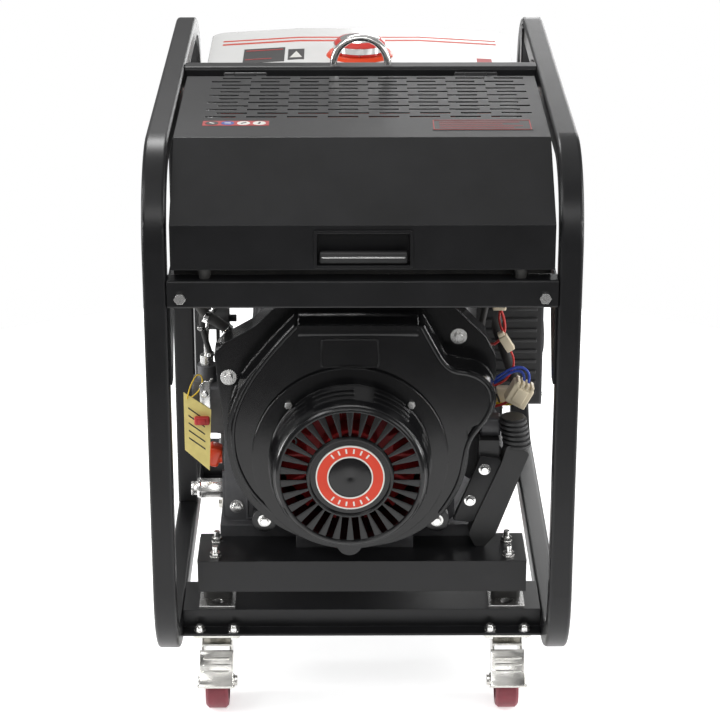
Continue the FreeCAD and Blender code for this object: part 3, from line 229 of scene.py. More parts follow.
extraFinishes = {
    "signalOrange": dict(colour=(0.66, 0.04, 0.008), second=(0.58, 0.032, 0.006),
                         rough=(0.3, 0.45)),
    "labelWhite": dict(colour=(0.75, 0.74, 0.7), second=(0.66, 0.65, 0.6)),
    "labelRed": dict(colour=(0.45, 0.02, 0.02), second=(0.36, 0.015, 0.015)),
    "labelBlue": dict(colour=(0.03, 0.09, 0.36), second=(0.02, 0.07, 0.3)),
    "labelBlack": dict(colour=(0.012, 0.011, 0.011), second=(0.022, 0.02, 0.02), rough=(0.3, 0.5)),
    "paperYellow": dict(colour=(0.8, 0.68, 0.24), second=(0.7, 0.58, 0.2), rough=(0.6, 0.8),
                        grain=600, bump=0.3, drift=60),
    "nylonCream": dict(colour=(0.66, 0.58, 0.42), second=(0.58, 0.5, 0.36), bump=0.08, edge=0.0006),
    "brightChrome": dict(colour=(0.8, 0.8, 0.79), second=(0.7, 0.7, 0.69), rough=(0.08, 0.2),
                         metal=1, grain=600, edge=0.0008),
    "leadRed": dict(colour=(0.5, 0.02, 0.015), second=(0.42, 0.02, 0.015), bump=0.08),
    "leadBlue": dict(colour=(0.02, 0.06, 0.4), second=(0.02, 0.05, 0.32), bump=0.08),
    "leadYellow": dict(colour=(0.75, 0.5, 0.02), second=(0.66, 0.44, 0.02), bump=0.08),
}
materials = {name: surface(name, settings) for name, settings in finishes.items()}
for name, settings in extraFinishes.items():
    materials[name] = surface(name, {**thin, **settings})
for entry in frame["record"]["subparts"]:
    cadMesh = nodes[entry["node"]].data
    cadMesh.materials.clear()
    cadMesh.materials.append(materials[entry["material_slot"]])
print("finishes made:", len(materials))


# ---- modelling helpers ----
def startFresh():
    if bpy.context.object is not None and bpy.context.object.mode != "OBJECT":
        bpy.ops.object.mode_set(mode="OBJECT")
    bpy.ops.object.select_all(action="DESELECT")


def choose(piece):
    startFresh()
    piece.select_set(True)
    bpy.context.view_layer.objects.active = piece


def settle(piece, name, finish, body="frame", angle=35):
    # place and turn go into the mesh, normals point out, and the piece rides on its body
    choose(piece)
    if piece.type != "MESH":
        bpy.ops.object.convert(target="MESH")
        piece = bpy.context.object
    bpy.ops.object.transform_apply(location=True, rotation=True, scale=True)
    bpy.ops.object.mode_set(mode="EDIT")
    bpy.ops.mesh.select_all(action="SELECT")
    bpy.ops.mesh.remove_doubles(threshold=0.000002)
    bpy.ops.mesh.normals_make_consistent(inside=False)
    bpy.ops.object.mode_set(mode="OBJECT")
    bpy.ops.object.shade_smooth_by_angle(angle=math.radians(angle))
    piece.name = name
    piece.data.name = name
    piece.data.materials.clear()
    piece.data.materials.append(materials[finish])
    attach(piece, body)
    return piece


def applyAll(piece):
    choose(piece)
    for modifier in list(piece.modifiers):
        bpy.ops.object.modifier_apply(modifier=modifier.name)


def softenEdges(piece, width, segments=2, limit=30):
    bevel = piece.modifiers.new("soft edges", "BEVEL")
    bevel.width = width * mm
    bevel.segments = segments
    bevel.limit_method = "ANGLE"
    bevel.angle_limit = math.radians(limit)
    applyAll(piece)
    return piece


def block(low, high, edge=0.8, segments=2):
    # a block between two corners with edges rounded by some millimetres
    startFresh()
    low, high = Vector(low), Vector(high)
    bpy.ops.mesh.primitive_cube_add(size=1, location=(low + high) / 2)
    piece = bpy.context.object
    piece.scale = high - low
    bpy.ops.object.transform_apply(location=False, rotation=False, scale=True)
    return softenEdges(piece, edge, segments)


def decal(low, high):  # a thin sheet or bar, too flat for a visible edge
    return block(low, high, 0.1, 1)


def chain(points):
    # a line of edges, drawn by extruding one vertex from point to point
    startFresh()
    bpy.ops.mesh.primitive_plane_add(size=0.001, location=(0, 0, 0))
    piece = bpy.context.object
    bpy.ops.object.mode_set(mode="EDIT")
    bpy.ops.mesh.select_all(action="SELECT")
    bpy.ops.mesh.merge(type="CENTER")
    previous = Vector(points[0])
    bpy.ops.transform.translate(value=previous)
    for point in points[1:]:
        step = Vector(point) - previous
        bpy.ops.mesh.extrude_region_move(TRANSFORM_OT_translate={"value": step})
        previous = Vector(point)
    return piece


def plate(points, depth, edge=0.6, segments=2):
    # a closed outline filled and extruded
    piece = chain(points)
    bpy.ops.mesh.select_all(action="SELECT")
    bpy.ops.mesh.edge_face_add()
    bpy.ops.mesh.extrude_region_move(TRANSFORM_OT_translate={"value": Vector(depth)})
    bpy.ops.mesh.select_all(action="SELECT")
    bpy.ops.mesh.normals_make_consistent(inside=False)
    bpy.ops.object.mode_set(mode="OBJECT")
    if edge:
        softenEdges(piece, edge, segments)
    return piece


def lathe(outline, axis, centre, steps=64, angle=360, startTurn=0):
    # the closed outline of (along the axis, radius) is spun about the axis through the centre
    along = {"X": Vector((1, 0, 0)), "Y": Vector((0, 1, 0)), "Z": Vector((0, 0, 1))}[axis]
    outward = {"X": Vector((0, 0, 1)), "Y": Vector((0, 0, 1)), "Z": Vector((1, 0, 0))}[axis]
    outward = Matrix.Rotation(math.radians(startTurn), 3, along) @ outward
    centre = Vector(centre)
    points = [centre + along * far + outward * radius for far, radius in outline]
    points.append(points[0])
    piece = chain(points)
    bpy.ops.mesh.select_all(action="SELECT")
    bpy.ops.mesh.spin(steps=steps, angle=math.radians(angle), center=centre, axis=along)
    bpy.ops.mesh.select_all(action="SELECT")
    bpy.ops.mesh.remove_doubles(threshold=0.000005)
    bpy.ops.mesh.normals_make_consistent(inside=False)
    bpy.ops.object.mode_set(mode="OBJECT")
    return piece


def joined(pieces):
    startFresh()
    for piece in pieces:
        piece.select_set(True)
    bpy.context.view_layer.objects.active = pieces[0]
    if len(pieces) > 1:
        bpy.ops.object.join()
    return bpy.context.object


def turnedPiece(piece, angle, axis, centre):
    # turned about a point, with the turn kept in the mesh
    turn = Matrix.Translation(Vector(centre)) @ Matrix.Rotation(math.radians(angle), 4, axis)
    turn = turn @ Matrix.Translation(-Vector(centre))
    piece.matrix_world = turn @ piece.matrix_world
    bpy.context.view_layer.update()
    choose(piece)
    bpy.ops.object.transform_apply(location=True, rotation=True, scale=True)
    return piece


def tube(points, radius, resolution=5):
    # a lead or pipe along one smooth curve
    startFresh()
    curve = bpy.data.curves.new("lead", "CURVE")
    curve.dimensions = "3D"
    line = curve.splines.new("NURBS")
    line.points.add(len(points) - 1)
    for index, point in enumerate(points):
        line.points[index].co = (*point, 1)
    line.order_u = 3
    line.use_endpoint_u = True
    line.resolution_u = 8
    curve.bevel_depth = radius * mm
    curve.bevel_resolution = resolution
    curve.use_fill_caps = True
    piece = bpy.data.objects.new("lead", curve)
    bpy.context.scene.collection.objects.link(piece)
    return piece


def roundedOutline(low, high, radius, steps=5):
    # corners of a rounded rectangle in two directions, anticlockwise
    corners = [(high[0] - radius, high[1] - radius, 0), (low[0] + radius, high[1] - radius, 90),
               (low[0] + radius, low[1] + radius, 180), (high[0] - radius, low[1] + radius, 270)]
    points = []
    for u, v, start in corners:
        for step in range(steps + 1):
            turn = math.radians(start + 90 * step / steps)
            points.append((u + radius * math.cos(turn), v + radius * math.sin(turn)))
    return points


def hexNut(place, lean, across=13, thick=6.5):
    # a hexagon along X, measured across its flats, on the side of the place that lean gives
    startFresh()
    x, y, z = place
    bpy.ops.mesh.primitive_cylinder_add(vertices=6, radius=across * mm / 1.732,
                                        depth=thick * mm, rotation=(0, math.pi / 2, 0),
                                        location=(x + lean * thick * mm / 2, y, z))
    piece = bpy.context.object
    bpy.ops.object.transform_apply(location=True, rotation=True, scale=True)
    return softenEdges(piece, 0.7)


def capEnds(piece):
    # open ends of a part-turn sweep are filled
    choose(piece)
    bpy.ops.object.mode_set(mode="EDIT")
    bpy.ops.mesh.select_all(action="DESELECT")
    bpy.ops.mesh.select_non_manifold()
    bpy.ops.mesh.edge_face_add()
    bpy.ops.object.mode_set(mode="OBJECT")


def openFrame(outer, inner, y, depth):
    # a flat frame between two outlines in the XZ plane, given a thickness, in millimetres
    rings = []
    for outline in (outer, inner):
        rings.append(chain([at(u, y, v) for u, v in outline + outline[:1]]))
        bpy.ops.object.mode_set(mode="OBJECT")
    piece = joined(rings)
    bpy.ops.object.mode_set(mode="EDIT")
    bpy.ops.mesh.select_all(action="SELECT")
    bpy.ops.mesh.remove_doubles(threshold=0.00001)
    bpy.ops.mesh.bridge_edge_loops()
    bpy.ops.mesh.select_all(action="SELECT")
    bpy.ops.mesh.extrude_region_move(TRANSFORM_OT_translate={"value": (0, depth * mm, 0)})
    bpy.ops.mesh.select_all(action="SELECT")
    bpy.ops.mesh.normals_make_consistent(inside=False)
    bpy.ops.object.mode_set(mode="OBJECT")
    return piece


# ---- fan cover trim ----
coverFront = (coverLow.y - front) / mm
hub = dict(disc=30, ring=45, border=1.6, proud=2.2)


def addFanHub():
    y, disc, ring, proud = coverFront, hub["disc"], hub["ring"], hub["proud"]
    centre = at(crankX, y, crankZ)
    dish = lathe(section(0, (-0.6, 0.1), (-1.8, disc - 5), (-1.2, disc - 1.6), (0, disc - 1.6),
                         (0, 0.1)), "Y", centre)
    settle(dish, "hubDisc", "engine_black")
    band = lathe(section(0, (0, disc), (-proud, disc + 0.4), (-proud, ring - 0.6), (0, ring)),
                 "Y", centre)
    settle(band, "hubRing", "signalOrange")
    borders = [lathe(section(0, (0, radius - hub["border"]), (-proud - 0.3, radius - hub["border"]),
                             (-proud - 0.3, radius + 0.2), (0, radius + 0.2)), "Y", centre)
               for radius in (disc, ring)]
    settle(joined(borders), "hubBorders", "labelWhite")
    marks = []  # plain tick marks round the ring, in two groups
    for group in (90, 270):
        for index in range(6):
            mark = decal(at(crankX - 1.1, y - proud - 0.3, crankZ + 34.5),
                         at(crankX + 1.1, y - proud + 0.2, crankZ + 41))
            marks.append(turnedPiece(mark, group + (index - 2.5) * 15 - 90, "Y", centre))
    settle(joined(marks), "hubMarks", "labelWhite")
    rim = lathe(section(0, (1, 52), (-2.6, 53), (-3.4, 55), (-2.6, 57), (1, 58)), "Y", centre, 72)
    outer = lathe(section(0, (3, 91), (-1.6, 92), (-2.4, 94.5), (-0.8, 97.5), (6, 101.5), (8, 99)),
                  "Y", centre, 96)
    settle(joined([rim, outer]), "coverRims", "engine_black", angle=50)
    bars = []  # curved louvre bars round the side wall of the cover
    for start in (18, 62, 108, 152, 208, 252, 298, 342):
        for row in range(3):
            near, radius = 14 + 13 * row, 103.5 + 1.3 * row
            bars.append(lathe(section(near, (0, radius), (1, radius + 2.4), (5.5, radius + 2.6),
                                      (7, radius)), "Y", centre, 10, 30, start - 15))
    for bar in bars:
        capEnds(bar)
    settle(joined(bars), "coverLouvres", "engine_black", angle=40)


addFanHub()
print("fan cover trim done")

# ---- hood trim ----
hood = dict(face=3, top=815)
pull = dict(left=-57, right=59, low=683, top=725)
signStrip = dict(left=-206, near=172, wide=86, deep=22)
rimmedPlate = dict(left=90, near=150, wide=130, deep=48)


def addHoodTrim():
    left, right, low, top = (pull[key] for key in ("left", "right", "low", "top"))
    face, height = hood["face"], hood["top"]
    rim = openFrame(roundedOutline((left - 4, low - 4), (right + 4, top + 4), 4),
                    roundedOutline((left, low), (right, top), 2), face, -1.6)
    settle(rim, "pullRim", "frame_black", "hood")
    grip = block(at(left + 3, face + 1, low + 1), at(right - 3, face + 9, low + 17), 2.5, 4)
    settle(grip, "pullGrip", "plastic_black", "hood")
    tongue = block(at(left + 6, face + 0.2, low + 9), at(right - 6, face + 2, low + 11))
    settle(tongue, "pullTongue", "brightChrome", "hood")
    # decals on the top face: a red strip of round signs, and an outlined plate
    left, near, wide, deep = (signStrip[key] for key in ("left", "near", "wide", "deep"))
    settle(decal(at(left, near, height), at(left + wide, near + deep, height + 0.3)),
           "signStrip", "labelRed", "hood")
    for index, finish in enumerate(("labelBlack", "labelBlue", "labelWhite", "labelWhite")):
        middle = left + 12 + 20.5 * index
        centre = at(middle, near + 11, 0)
        sign = lathe(section(height, (0.2, 0.1), (0.6, 0.1), (0.6, 8.2), (0.2, 8.6)), "Z",
                     centre, 28)
        settle(sign, f"sign{index}", finish, "hood")
        bar = decal(at(middle - 4, near + 9.6, height + 0.5),
                    at(middle + 4, near + 12.4, height + 0.8))
        bar = turnedPiece(bar, 40 * (index - 1), "Z", centre)
        settle(bar, f"signBar{index}", "labelWhite" if index < 2 else "labelBlack", "hood")
    left, near, wide, deep = (rimmedPlate[key] for key in ("left", "near", "wide", "deep"))
    settle(decal(at(left, near, height), at(left + wide, near + deep, height + 0.3)),
           "plateSheet", "labelBlack", "hood")
    west, east, south, north = left + 2, left + wide - 2, near + 2, near + deep - 2
    lines = [decal(at(u0, v0, height + 0.2), at(u1, v1, height + 0.55)) for u0, v0, u1, v1 in
             ((west, south, east, south + 1.2), (west, north - 1.2, east, north),
              (west, south, west + 1.2, north), (east - 1.2, south, east, north))]
    for row, length in enumerate((96, 108, 82, 104)):
        y = near + 10 + 8.5 * row
        lines.append(decal(at(left + 10, y, height + 0.2),
                           at(left + 10 + length, y + 1.6, height + 0.5)))
    settle(joined(lines), "plateLines", "labelRed", "hood")
    seal = block(at(-237, 24, 663.6), at(237, 28, 674), 1.4, 3)
    settle(seal, "hoodSeal", "rubber_black")
    # folded seams where the sloping front meets the sides
    for side, word in ((-1, "Left"), (1, "Right")):
        seam = plate([at(side * 226, v, w) for v, w in
                      ((4, 677.5), (4, 679), (400, 679), (400, 677.5))],
                     (side * 12 * mm, 0, 0), 0.4)
        settle(seam, "hoodHem" + word, "frame_black", "hood")


addHoodTrim()
print("hood trim done")

# ---- engine housing trim ----
housingFront = 112


def addHousingTrim():
    rim = openFrame(roundedOutline((-55, 502), (23, 544), 6), roundedOutline((-52, 505), (20, 541), 4),
                    housingFront + 0.6, -2)
    softenEdges(rim, 0.8, 3)
    settle(rim, "housingPlateRim", "engine_black", angle=50)
    shoulder = plate([at(-84, housingFront + u, v) for u, v in
                      ((0, 546), (-1, 549), (-1, 553), (0, 556), (4, 565), (9, 571), (18, 574),
                       (34, 574), (34, 546))], (158 * mm, 0, 0), 1.6, 3)
    settle(shoulder, "housingShoulder", "engine_black", angle=60)
    # rounded lip of the volute, from the left lug up to the shoulder and down the right
    left = [(-112, 286), (-140, 312), (-160, 345), (-171, 380), (-172, 420), (-163, 452),
            (-146, 486), (-124, 516), (-100, 545), (-86, 560)]
    right = [(78, 560), (92, 532), (108, 504), (122, 496), (140, 494), (158, 486), (170, 470),
             (172, 450), (164, 430), (150, 412), (140, 395), (136, 372), (132, 346), (120, 316),
             (104, 292)]
    for word, points in (("Left", left), ("Right", right)):
        lip = tube([at(u, housingFront + 3.4, v) for u, v in points], 4.6, 6)
        settle(lip, f"housingLip{word}", "engine_black", angle=60)
    blanks = [lathe(section(0, (1, 6.4), (-1.6, 6), (-1.6, 3.6), (1, 3.4)), "Y",
                    at(u, housingFront, v), 28)
              for u, v in ((-92, 398), (84, 318))]  # blind screw places
    settle(joined(blanks), "housingBlanks", "engine_black", angle=50)


def addCrankcaseTrim():
    # flange bolt and cast panel ribs beside the left lug
    ribs = [block(at(-159, 197, 246), at(-156, 200.5, 292), 1, 3),
            block(at(-159, 197, 244), at(-146, 200.5, 247), 1, 3)]
    settle(joined(ribs), "casePanelRibs", "engine_grey")
    centre = at(-172, 200, 263)
    flange = lathe(section(0, (0.3, 0.1), (0.3, 10), (-1.4, 9.8), (-2.4, 7.6), (-2.4, 0.1)), "Y",
                   centre, 36)
    head = turnedPiece(hexNut(centre, 1, 12, 7), -90, "Z", centre)
    settle(joined([flange, head]), "caseBolt", "bare_steel")


addHousingTrim()
addCrankcaseTrim()
print("housing trim done")

# ---- alternator and battery ----
alternator = dict(radius=145, finNear=438, finFar=676, fins=40, finHigh=3, boltsOut=118)
battery = dict(left=-90.5, right=90.5, near=758, far=835, top=277.5)


def addAlternatorTrim():
    radius = alternator["radius"]
    axis = at(crankX, 0, crankZ)
    fins = []
    for index in range(alternator["fins"]):
        turn = 360 * index / alternator["fins"]
        if 140 < turn < 220:
            continue  # over the feet
        fin = block(at(crankX - 1.3, alternator["finNear"], crankZ + radius - 1),
                    at(crankX + 1.3, alternator["finFar"], crankZ + radius + alternator["finHigh"]),
                    0.9)
        fins.append(turnedPiece(fin, turn, "Y", axis))
    settle(joined(fins), "alternatorFins", "alternator_grey")
    bands = [lathe(section(near, (0, radius - 1), (0, radius + 3), (3, radius + 4), (9, radius + 4),
                           (12, radius + 3), (12, radius - 1)), "Y", axis, 96)
             for near in (424, 676)]
    settle(joined(bands), "alternatorBands", "alternator_grey", angle=40)
    bolts = []
    for turn in (45, 135, 225, 315):
        place = at(crankX, 699.5, crankZ + alternator["boltsOut"])
        bolt = turnedPiece(hexNut(place, 1, 13, 7), 90, "Z", place)
        bolts.append(turnedPiece(bolt, turn, "Y", axis))
    settle(joined(bolts), "alternatorBolts", "bare_steel")


def addBatteryTrim():
    near, far = battery["near"], battery["far"]
    caps = [lathe(section(battery["top"], (-1, 0.1), (-1, 8), (2.6, 7.6), (3, 6.8), (2, 5), (2, 0.1)),
                  "Z", at(-50 + 20 * index, 808, 0), 32) for index in range(6)]
    settle(joined(caps), "batteryCaps", "plastic_black")
    rims = [block(at(battery["left"] - 0.8, near - 0.8, 262),
                  at(battery["right"] + 0.8, far + 0.8, 267), 1.2, 3)]
    rims += [block(at(x, far - 1, 150), at(x + 5, far + 1.2, 256)) for x in range(-76, 80, 21)]
    settle(joined(rims), "batteryRims", "plastic_black")
    runs = {
        "batteryLeadRed": (70.5, "labelRed", [(71, 776, 296), (84, 764, 312), (122, 740, 308),
                                              (148, 690, 300), (158, 560, 298), (160, 430, 330),
                                              (164, 345, 372), (164, 322, 376)]),
        "batteryLeadBlack": (-70.5, "rubber_black", [(-71, 776, 296), (-86, 762, 308),
                                                     (-126, 744, 270), (-150, 734, 200),
                                                     (-152, 728, 142)]),
    }
    for name, (x, finish, points) in runs.items():
        settle(tube(placed(*points), 5), name, "rubber_black")
        boot = lathe(section(288, (0, 0.1), (0, 10.5), (10, 10), (13, 7.5), (13, 0.1)), "Z",
                     at(x, 776, 0), 32)
        settle(boot, name + "Boot", finish)


addAlternatorTrim()
addBatteryTrim()
print("alternator and battery done")

# ---- casters ----
caster = dict(x=199, axleY=115, axleZ=37.5, headY=152, inner=17.5, sheet=3)


def addCaster(side, word):
    body = f"front_{word}_fork"
    x = side * caster["x"]
    axleY, axleZ, headY, sheet = (caster[key] for key in ("axleY", "axleZ", "headY", "sheet"))
    half = caster["inner"] + sheet  # out to the faces of the cheeks
    cheeks = []
    for lean in (-1, 1):
        low = x + lean * (half - sheet / 2) - sheet / 2
        outline = [(headY + 23, 99), (headY + 22, 92)]
        for step in range(7):  # the hollow rear edge
            turn = math.radians(90 * step / 6)
            outline.append((headY + 22 - 22 * math.sin(turn), 92 - 36 * (1 - math.cos(turn))))
        for step in range(9):  # round eye at the axle
            turn = math.radians(10 + 200 * step / 8)
            outline.append((axleY + 11 * math.cos(turn), axleZ - 11 * math.sin(turn)))
        outline += [(axleY - 15, 62), (axleY - 16, 80), (axleY - 12, 95), (axleY - 9, 99)]
        cheeks.append(plate([at(low, u, v) for u, v in outline], (sheet * mm, 0, 0), 0.9, 3))
        eye = at(x + lean * half, axleY, axleZ)
        boss = lathe(section(0, (-2.2, 12), (2.6, 9.5), (2.6, 7.2), (-2.2, 7.2)), "X", eye, 36)
        if lean < 0:
            boss = turnedPiece(boss, 180, "Z", eye)
        cheeks.append(boss)
    roof = plate([at(x + u, v, 96) for u, v in ((-half, axleY - 11), (half, axleY - 11),
                                                (half, headY + 24), (-half, headY + 24))],
                 (0, 0, 3 * mm), 1.2, 3)
    crown = lathe(section(0, (98.5, 21.9), (101, 21.6), (103.5, 19), (108, 16), (108, 5.9),
                          (98.5, 5.9)), "Z", at(x, headY, 0), 48)
    kingpin = lathe(section(0, (98, 0.1), (98, 5.9), (110.8, 5.9), (111.1, 4.6), (111.1, 0.1)),
                    "Z", at(x, headY, 0), 32)
    axle = lathe(section(0, (-26.4, 0.1), (-27, 3), (-26, 3.95), (26, 3.95), (27, 3), (26.4, 0.1)),
                 "X", at(x, axleY, axleZ), 24)
    pins = [lathe(section(0, (0, 0.1), (0, 2.45), (lean * 4.8, 2.45), (lean * 5.2, 1.6),
                          (lean * 5.2, 0.1)), "X",
                  at(x + lean * caster["inner"], axleY - 8, 80), 20) for lean in (-1, 1)]
    nuts = [hexNut(at(x + lean * half, axleY, axleZ), lean) for lean in (-1, 1)]
    shell = joined(cheeks + [roof, crown, kingpin, axle] + pins + nuts)
    shell = settle(shell, f"{word}ForkPressing", "caster_zinc", body, 40)
    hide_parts(f"front_{word}_fork")
    addPedal(word, x)


def addPedal(word, x):
    # a sheet tread in a smooth curve with pressed ridges and a rolled lip
    body = f"{word}_brake_pedal"
    axleY = caster["axleY"]
    inner = caster["inner"] + caster["sheet"] + 0.4
    under = [(-14.8, 92), (-20, 87), (-27, 78.5), (-34, 69.5), (-40, 61.5), (-45, 57), (-49.5, 54)]
    top = [(u - 1.2, v + 1.2) for u, v in under]
    pieces = [plate([at(x - inner - 1.9, axleY + u, v) for u, v in top + under[::-1]],
                    ((2 * inner + 3.8) * mm, 0, 0), 0.5)]
    for share in (0, 0.5, 1):  # cross ridges for the shoe
        y, z = axleY - 24 - 11 * share, 83.8 - 14.2 * share
        pieces.append(block(at(x - inner + 3, y - 1.6, z - 1.6),
                            at(x + inner - 3, y + 1.6, z + 1.6), 1.4, 4))
    lip = lathe(section(0, (-25.5, 0.1), (-25.5, 2.4), (25.5, 2.4), (25.5, 0.1)), "X",
                at(x, axleY - 47, 53.4), 24)
    pieces.append(softenEdges(lip, 1, 3))
    outline = [(-3, 75), (-3, 85), (-8, 89), (-14.8, 92), (-27, 78), (-40, 61), (-44, 57),
               (-38, 55.5), (-20, 63)]
    for lean in (-1, 1):
        low = x + lean * (inner + 1) - 0.9
        pieces.append(plate([at(low, axleY + u, v) for u, v in outline], (1.8 * mm, 0, 0), 0.5))
    pedal = settle(joined(pieces), f"{word}PedalPressing", "caster_zinc", body, 40)
    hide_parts(body)


for side, word in ((-1, "left"), (1, "right")):
    addCaster(side, word)
print("casters done")

# ---- tank decals and cap ----
tank = dict(top=785, half=224, flat=89.6, slope=0.0595)


def addTankTrim():
    top, half = tank["top"], tank["half"]
    stripes = []
    for near, far in ((736, 744), (757, 763)):
        stripes.append(decal(at(-half * 0.4, near, top - 0.4), at(half * 0.4, far, top + 0.35)))
        for side in (-1, 1):
            x, farX = side * half * 0.4, side * (half - 18)
            stripes.append(plate([at(x, near, top + 0.4), at(farX, near, top - 6.6),
                                  at(farX, far, top - 6.6), at(x, far, top + 0.4)],
                                 (0, 0, -0.8 * mm), 0))
    for y in (489.7, 817.7):
        for z, high in ((735, 8), (724, 3)):
            stripes.append(decal(at(-198, y, z), at(198, y + 0.6, z + high)))
    for x in (-half, half):
        for z, high in ((735, 8), (724, 3)):
            stripes.append(decal(at(x - 0.3, 515, z), at(x + 0.3, 793, z + high)))
    settle(joined(stripes), "tankStripes", "signalOrange")

    def sign(name, finish, outline, rise=0.4):  # laid on the slopes beside the flat middle
        points = [at(u, v, top + rise - max(0, abs(u) - tank["flat"]) * tank["slope"])
                  for u, v in outline]
        settle(plate(points, (0, 0, -0.6 * mm), 0), name, finish)

    sign("tankPlate", "labelBlack", [(-172, 622), (-111, 622), (-111, 704), (-172, 704)])
    sign("tankPlateRed", "labelRed", [(-169, 690), (-114, 690), (-114, 694), (-169, 694)], 0.7)
    sign("tankPlateRow", "labelRed", [(-169, 640), (-130, 640), (-130, 643), (-169, 643)], 0.7)
    sign("tankSquare", "labelBlack", [(-106, 628), (-82, 628), (-82, 690), (-106, 690)])
    sign("tankTriangle", "labelWhite", [(-103, 640), (-85, 640), (-94, 676)], 0.7)
    sign("tankMark", "labelRed", [(172, 622), (194, 622), (194, 650), (172, 650)])
    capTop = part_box("fuel_cap")[1].z / mm
    centre = at(0, 654, 0)
    crown = lathe(section(capTop, (-0.5, 0.1), (3.8, 0.1), (3.2, 18), (1, 27), (-0.5, 30)), "Z",
                  centre, 48)
    settle(crown, "capCrown", "brightChrome", "fuel_cap")
    band = lathe(section(capTop, (-16, 37), (-16, 38.6), (-7, 38.6), (-7, 37)), "Z", centre, 64)
    settle(band, "capBand", "brightChrome", "fuel_cap")


addTankTrim()
print("tank trim done")


# ---- left of the engine: tag, lever knob, linkage, fittings ----
def addLeftSide():
    # paper tag hanging askew, its printed rows as plain bars, held by a red clip
    tag = plate([at(u, 190, v) for u, v in ((-241, 437), (-204, 411), (-208, 321), (-241, 352))],
                (0, 0.7 * mm, 0), 0)
    settle(tag, "paperTag", "paperYellow")
    lines = [plate([at(u, 189.6, 352 + 11 * row + rise) for u, rise in
                    ((-235, 19), (-213, 2), (-213, 0), (-235, 17))], (0, 0.6 * mm, 0), 0)
             for row in range(5)]
    settle(joined(lines), "tagRows", "labelBlack")
    loop = tube(placed((-236, 188, 428), (-233, 189, 444), (-222, 198, 462), (-214, 203, 452),
                       (-220, 196, 434), (-233, 192, 427)), 0.9, 3)
    settle(loop, "tagLoop", "leadYellow")
    clip = block(at(-227, 182, 391), at(-206, 189.6, 403), 2.6, 4)
    pad = block(at(-221, 180.6, 393.5), at(-211, 183, 400.5), 1.1, 3)
    settle(joined([clip, pad]), "tagClip", "labelRed")
    arm = plate([at(u, 191.4, v) for u, v in
                 ((-219, 400), (-219, 446), (-213, 452), (-205, 452), (-205, 400))],
                (0, 2.4 * mm, 0), 0.7)
    stud = lathe(section(0, (-4, 0.1), (-4, 2.6), (-2.4, 4.4), (0.4, 4.6), (0.4, 0.1)), "Y",
                 at(-212, 191.4, 434), 24)
    strut = tube(placed((-210, 193, 442), (-206, 204, 446), (-204, 214, 446)), 2.4, 4)
    settle(strut, "clipStrut", "bare_steel")
    settle(joined([arm, stud]), "clipArm", "bare_steel")
    # return fuel hose over the pump, with two clamps
    hose = tube(placed((-206, 251, 466), (-214, 236, 500), (-218, 222, 540), (-196, 214, 572),
                       (-160, 230, 592), (-120, 250, 600), (-84, 262, 603)), 4)
    settle(hose, "returnHose", "rubber_black")
    for index, place in enumerate(placed((-207, 249, 470), (-217, 230, 515))):
        clamp = lathe(section(0, (-2.4, 4.1), (-2.4, 5.4), (2.4, 5.4), (2.4, 4.1)), "Z", place, 24)
        settle(clamp, f"hoseClamp{index}", "brightChrome")
    breather = tube(placed((-224, 208, 578), (-217, 209, 545), (-190, 214, 527), (-172, 218, 508),
                           (-160, 222, 492)), 7, 6)
    settle(breather, "breatherHose", "rubber_black")
    for index, (place, lean) in enumerate(((at(-209, 210.3, 539), 64), (at(-181, 216, 518), 47))):
        collar = lathe(section(0, (-3, 7.2), (-3, 9), (3, 9), (3, 7.2)), "X", place, 32)
        settle(turnedPiece(collar, 90 - lean, "Y", place), f"breatherCollar{index}", "brightChrome")
    addOilFittings()
    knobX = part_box("speed_lever")[0].x / mm + 1.2
    knob = lathe(section(0, (-1, 0.1), (-1, 4), (-7, 5), (-9, 3.4), (-9.5, 0.1)), "X",
                 at(knobX, 203, 390), 28)
    settle(knob, "leverKnob", "cap_red", "speed_lever")


def addOilFittings():
    # filler cap: a rounded grip block, set at a tilt, on a short neck
    grip = block(at(-213, 211.5, 316), at(-194, 238.5, 344), 4.5, 4)
    grip = turnedPiece(grip, 18, "Y", at(-202, 225, 330))
    neck = lathe(section(0, (-192, 0.1), (-199, 0.1), (-199, 12), (-192, 12)), "X",
                 at(0, 225, 330), 36)
    cap = settle(joined([grip, neck]), "oilCapGrip", "cap_orange", "oil_cap")
    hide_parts("oil_filler_cap")
    # drain: hexagon body, flange and a smaller bolt head
    body = hexNut(at(-193, 250, 268), -1, 24, 31)
    flange = lathe(section(0, (-224, 0.1), (-224, 14), (-226, 14.6), (-229, 13), (-229, 0.1)), "X",
                   at(0, 250, 268), 40)
    head = hexNut(at(-229, 250, 268), -1, 17, 8.6)
    drain = settle(joined([body, flange, head]), "drainFitting", "bare_steel")
    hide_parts("oil_drain")


addLeftSide()
print("left side done")


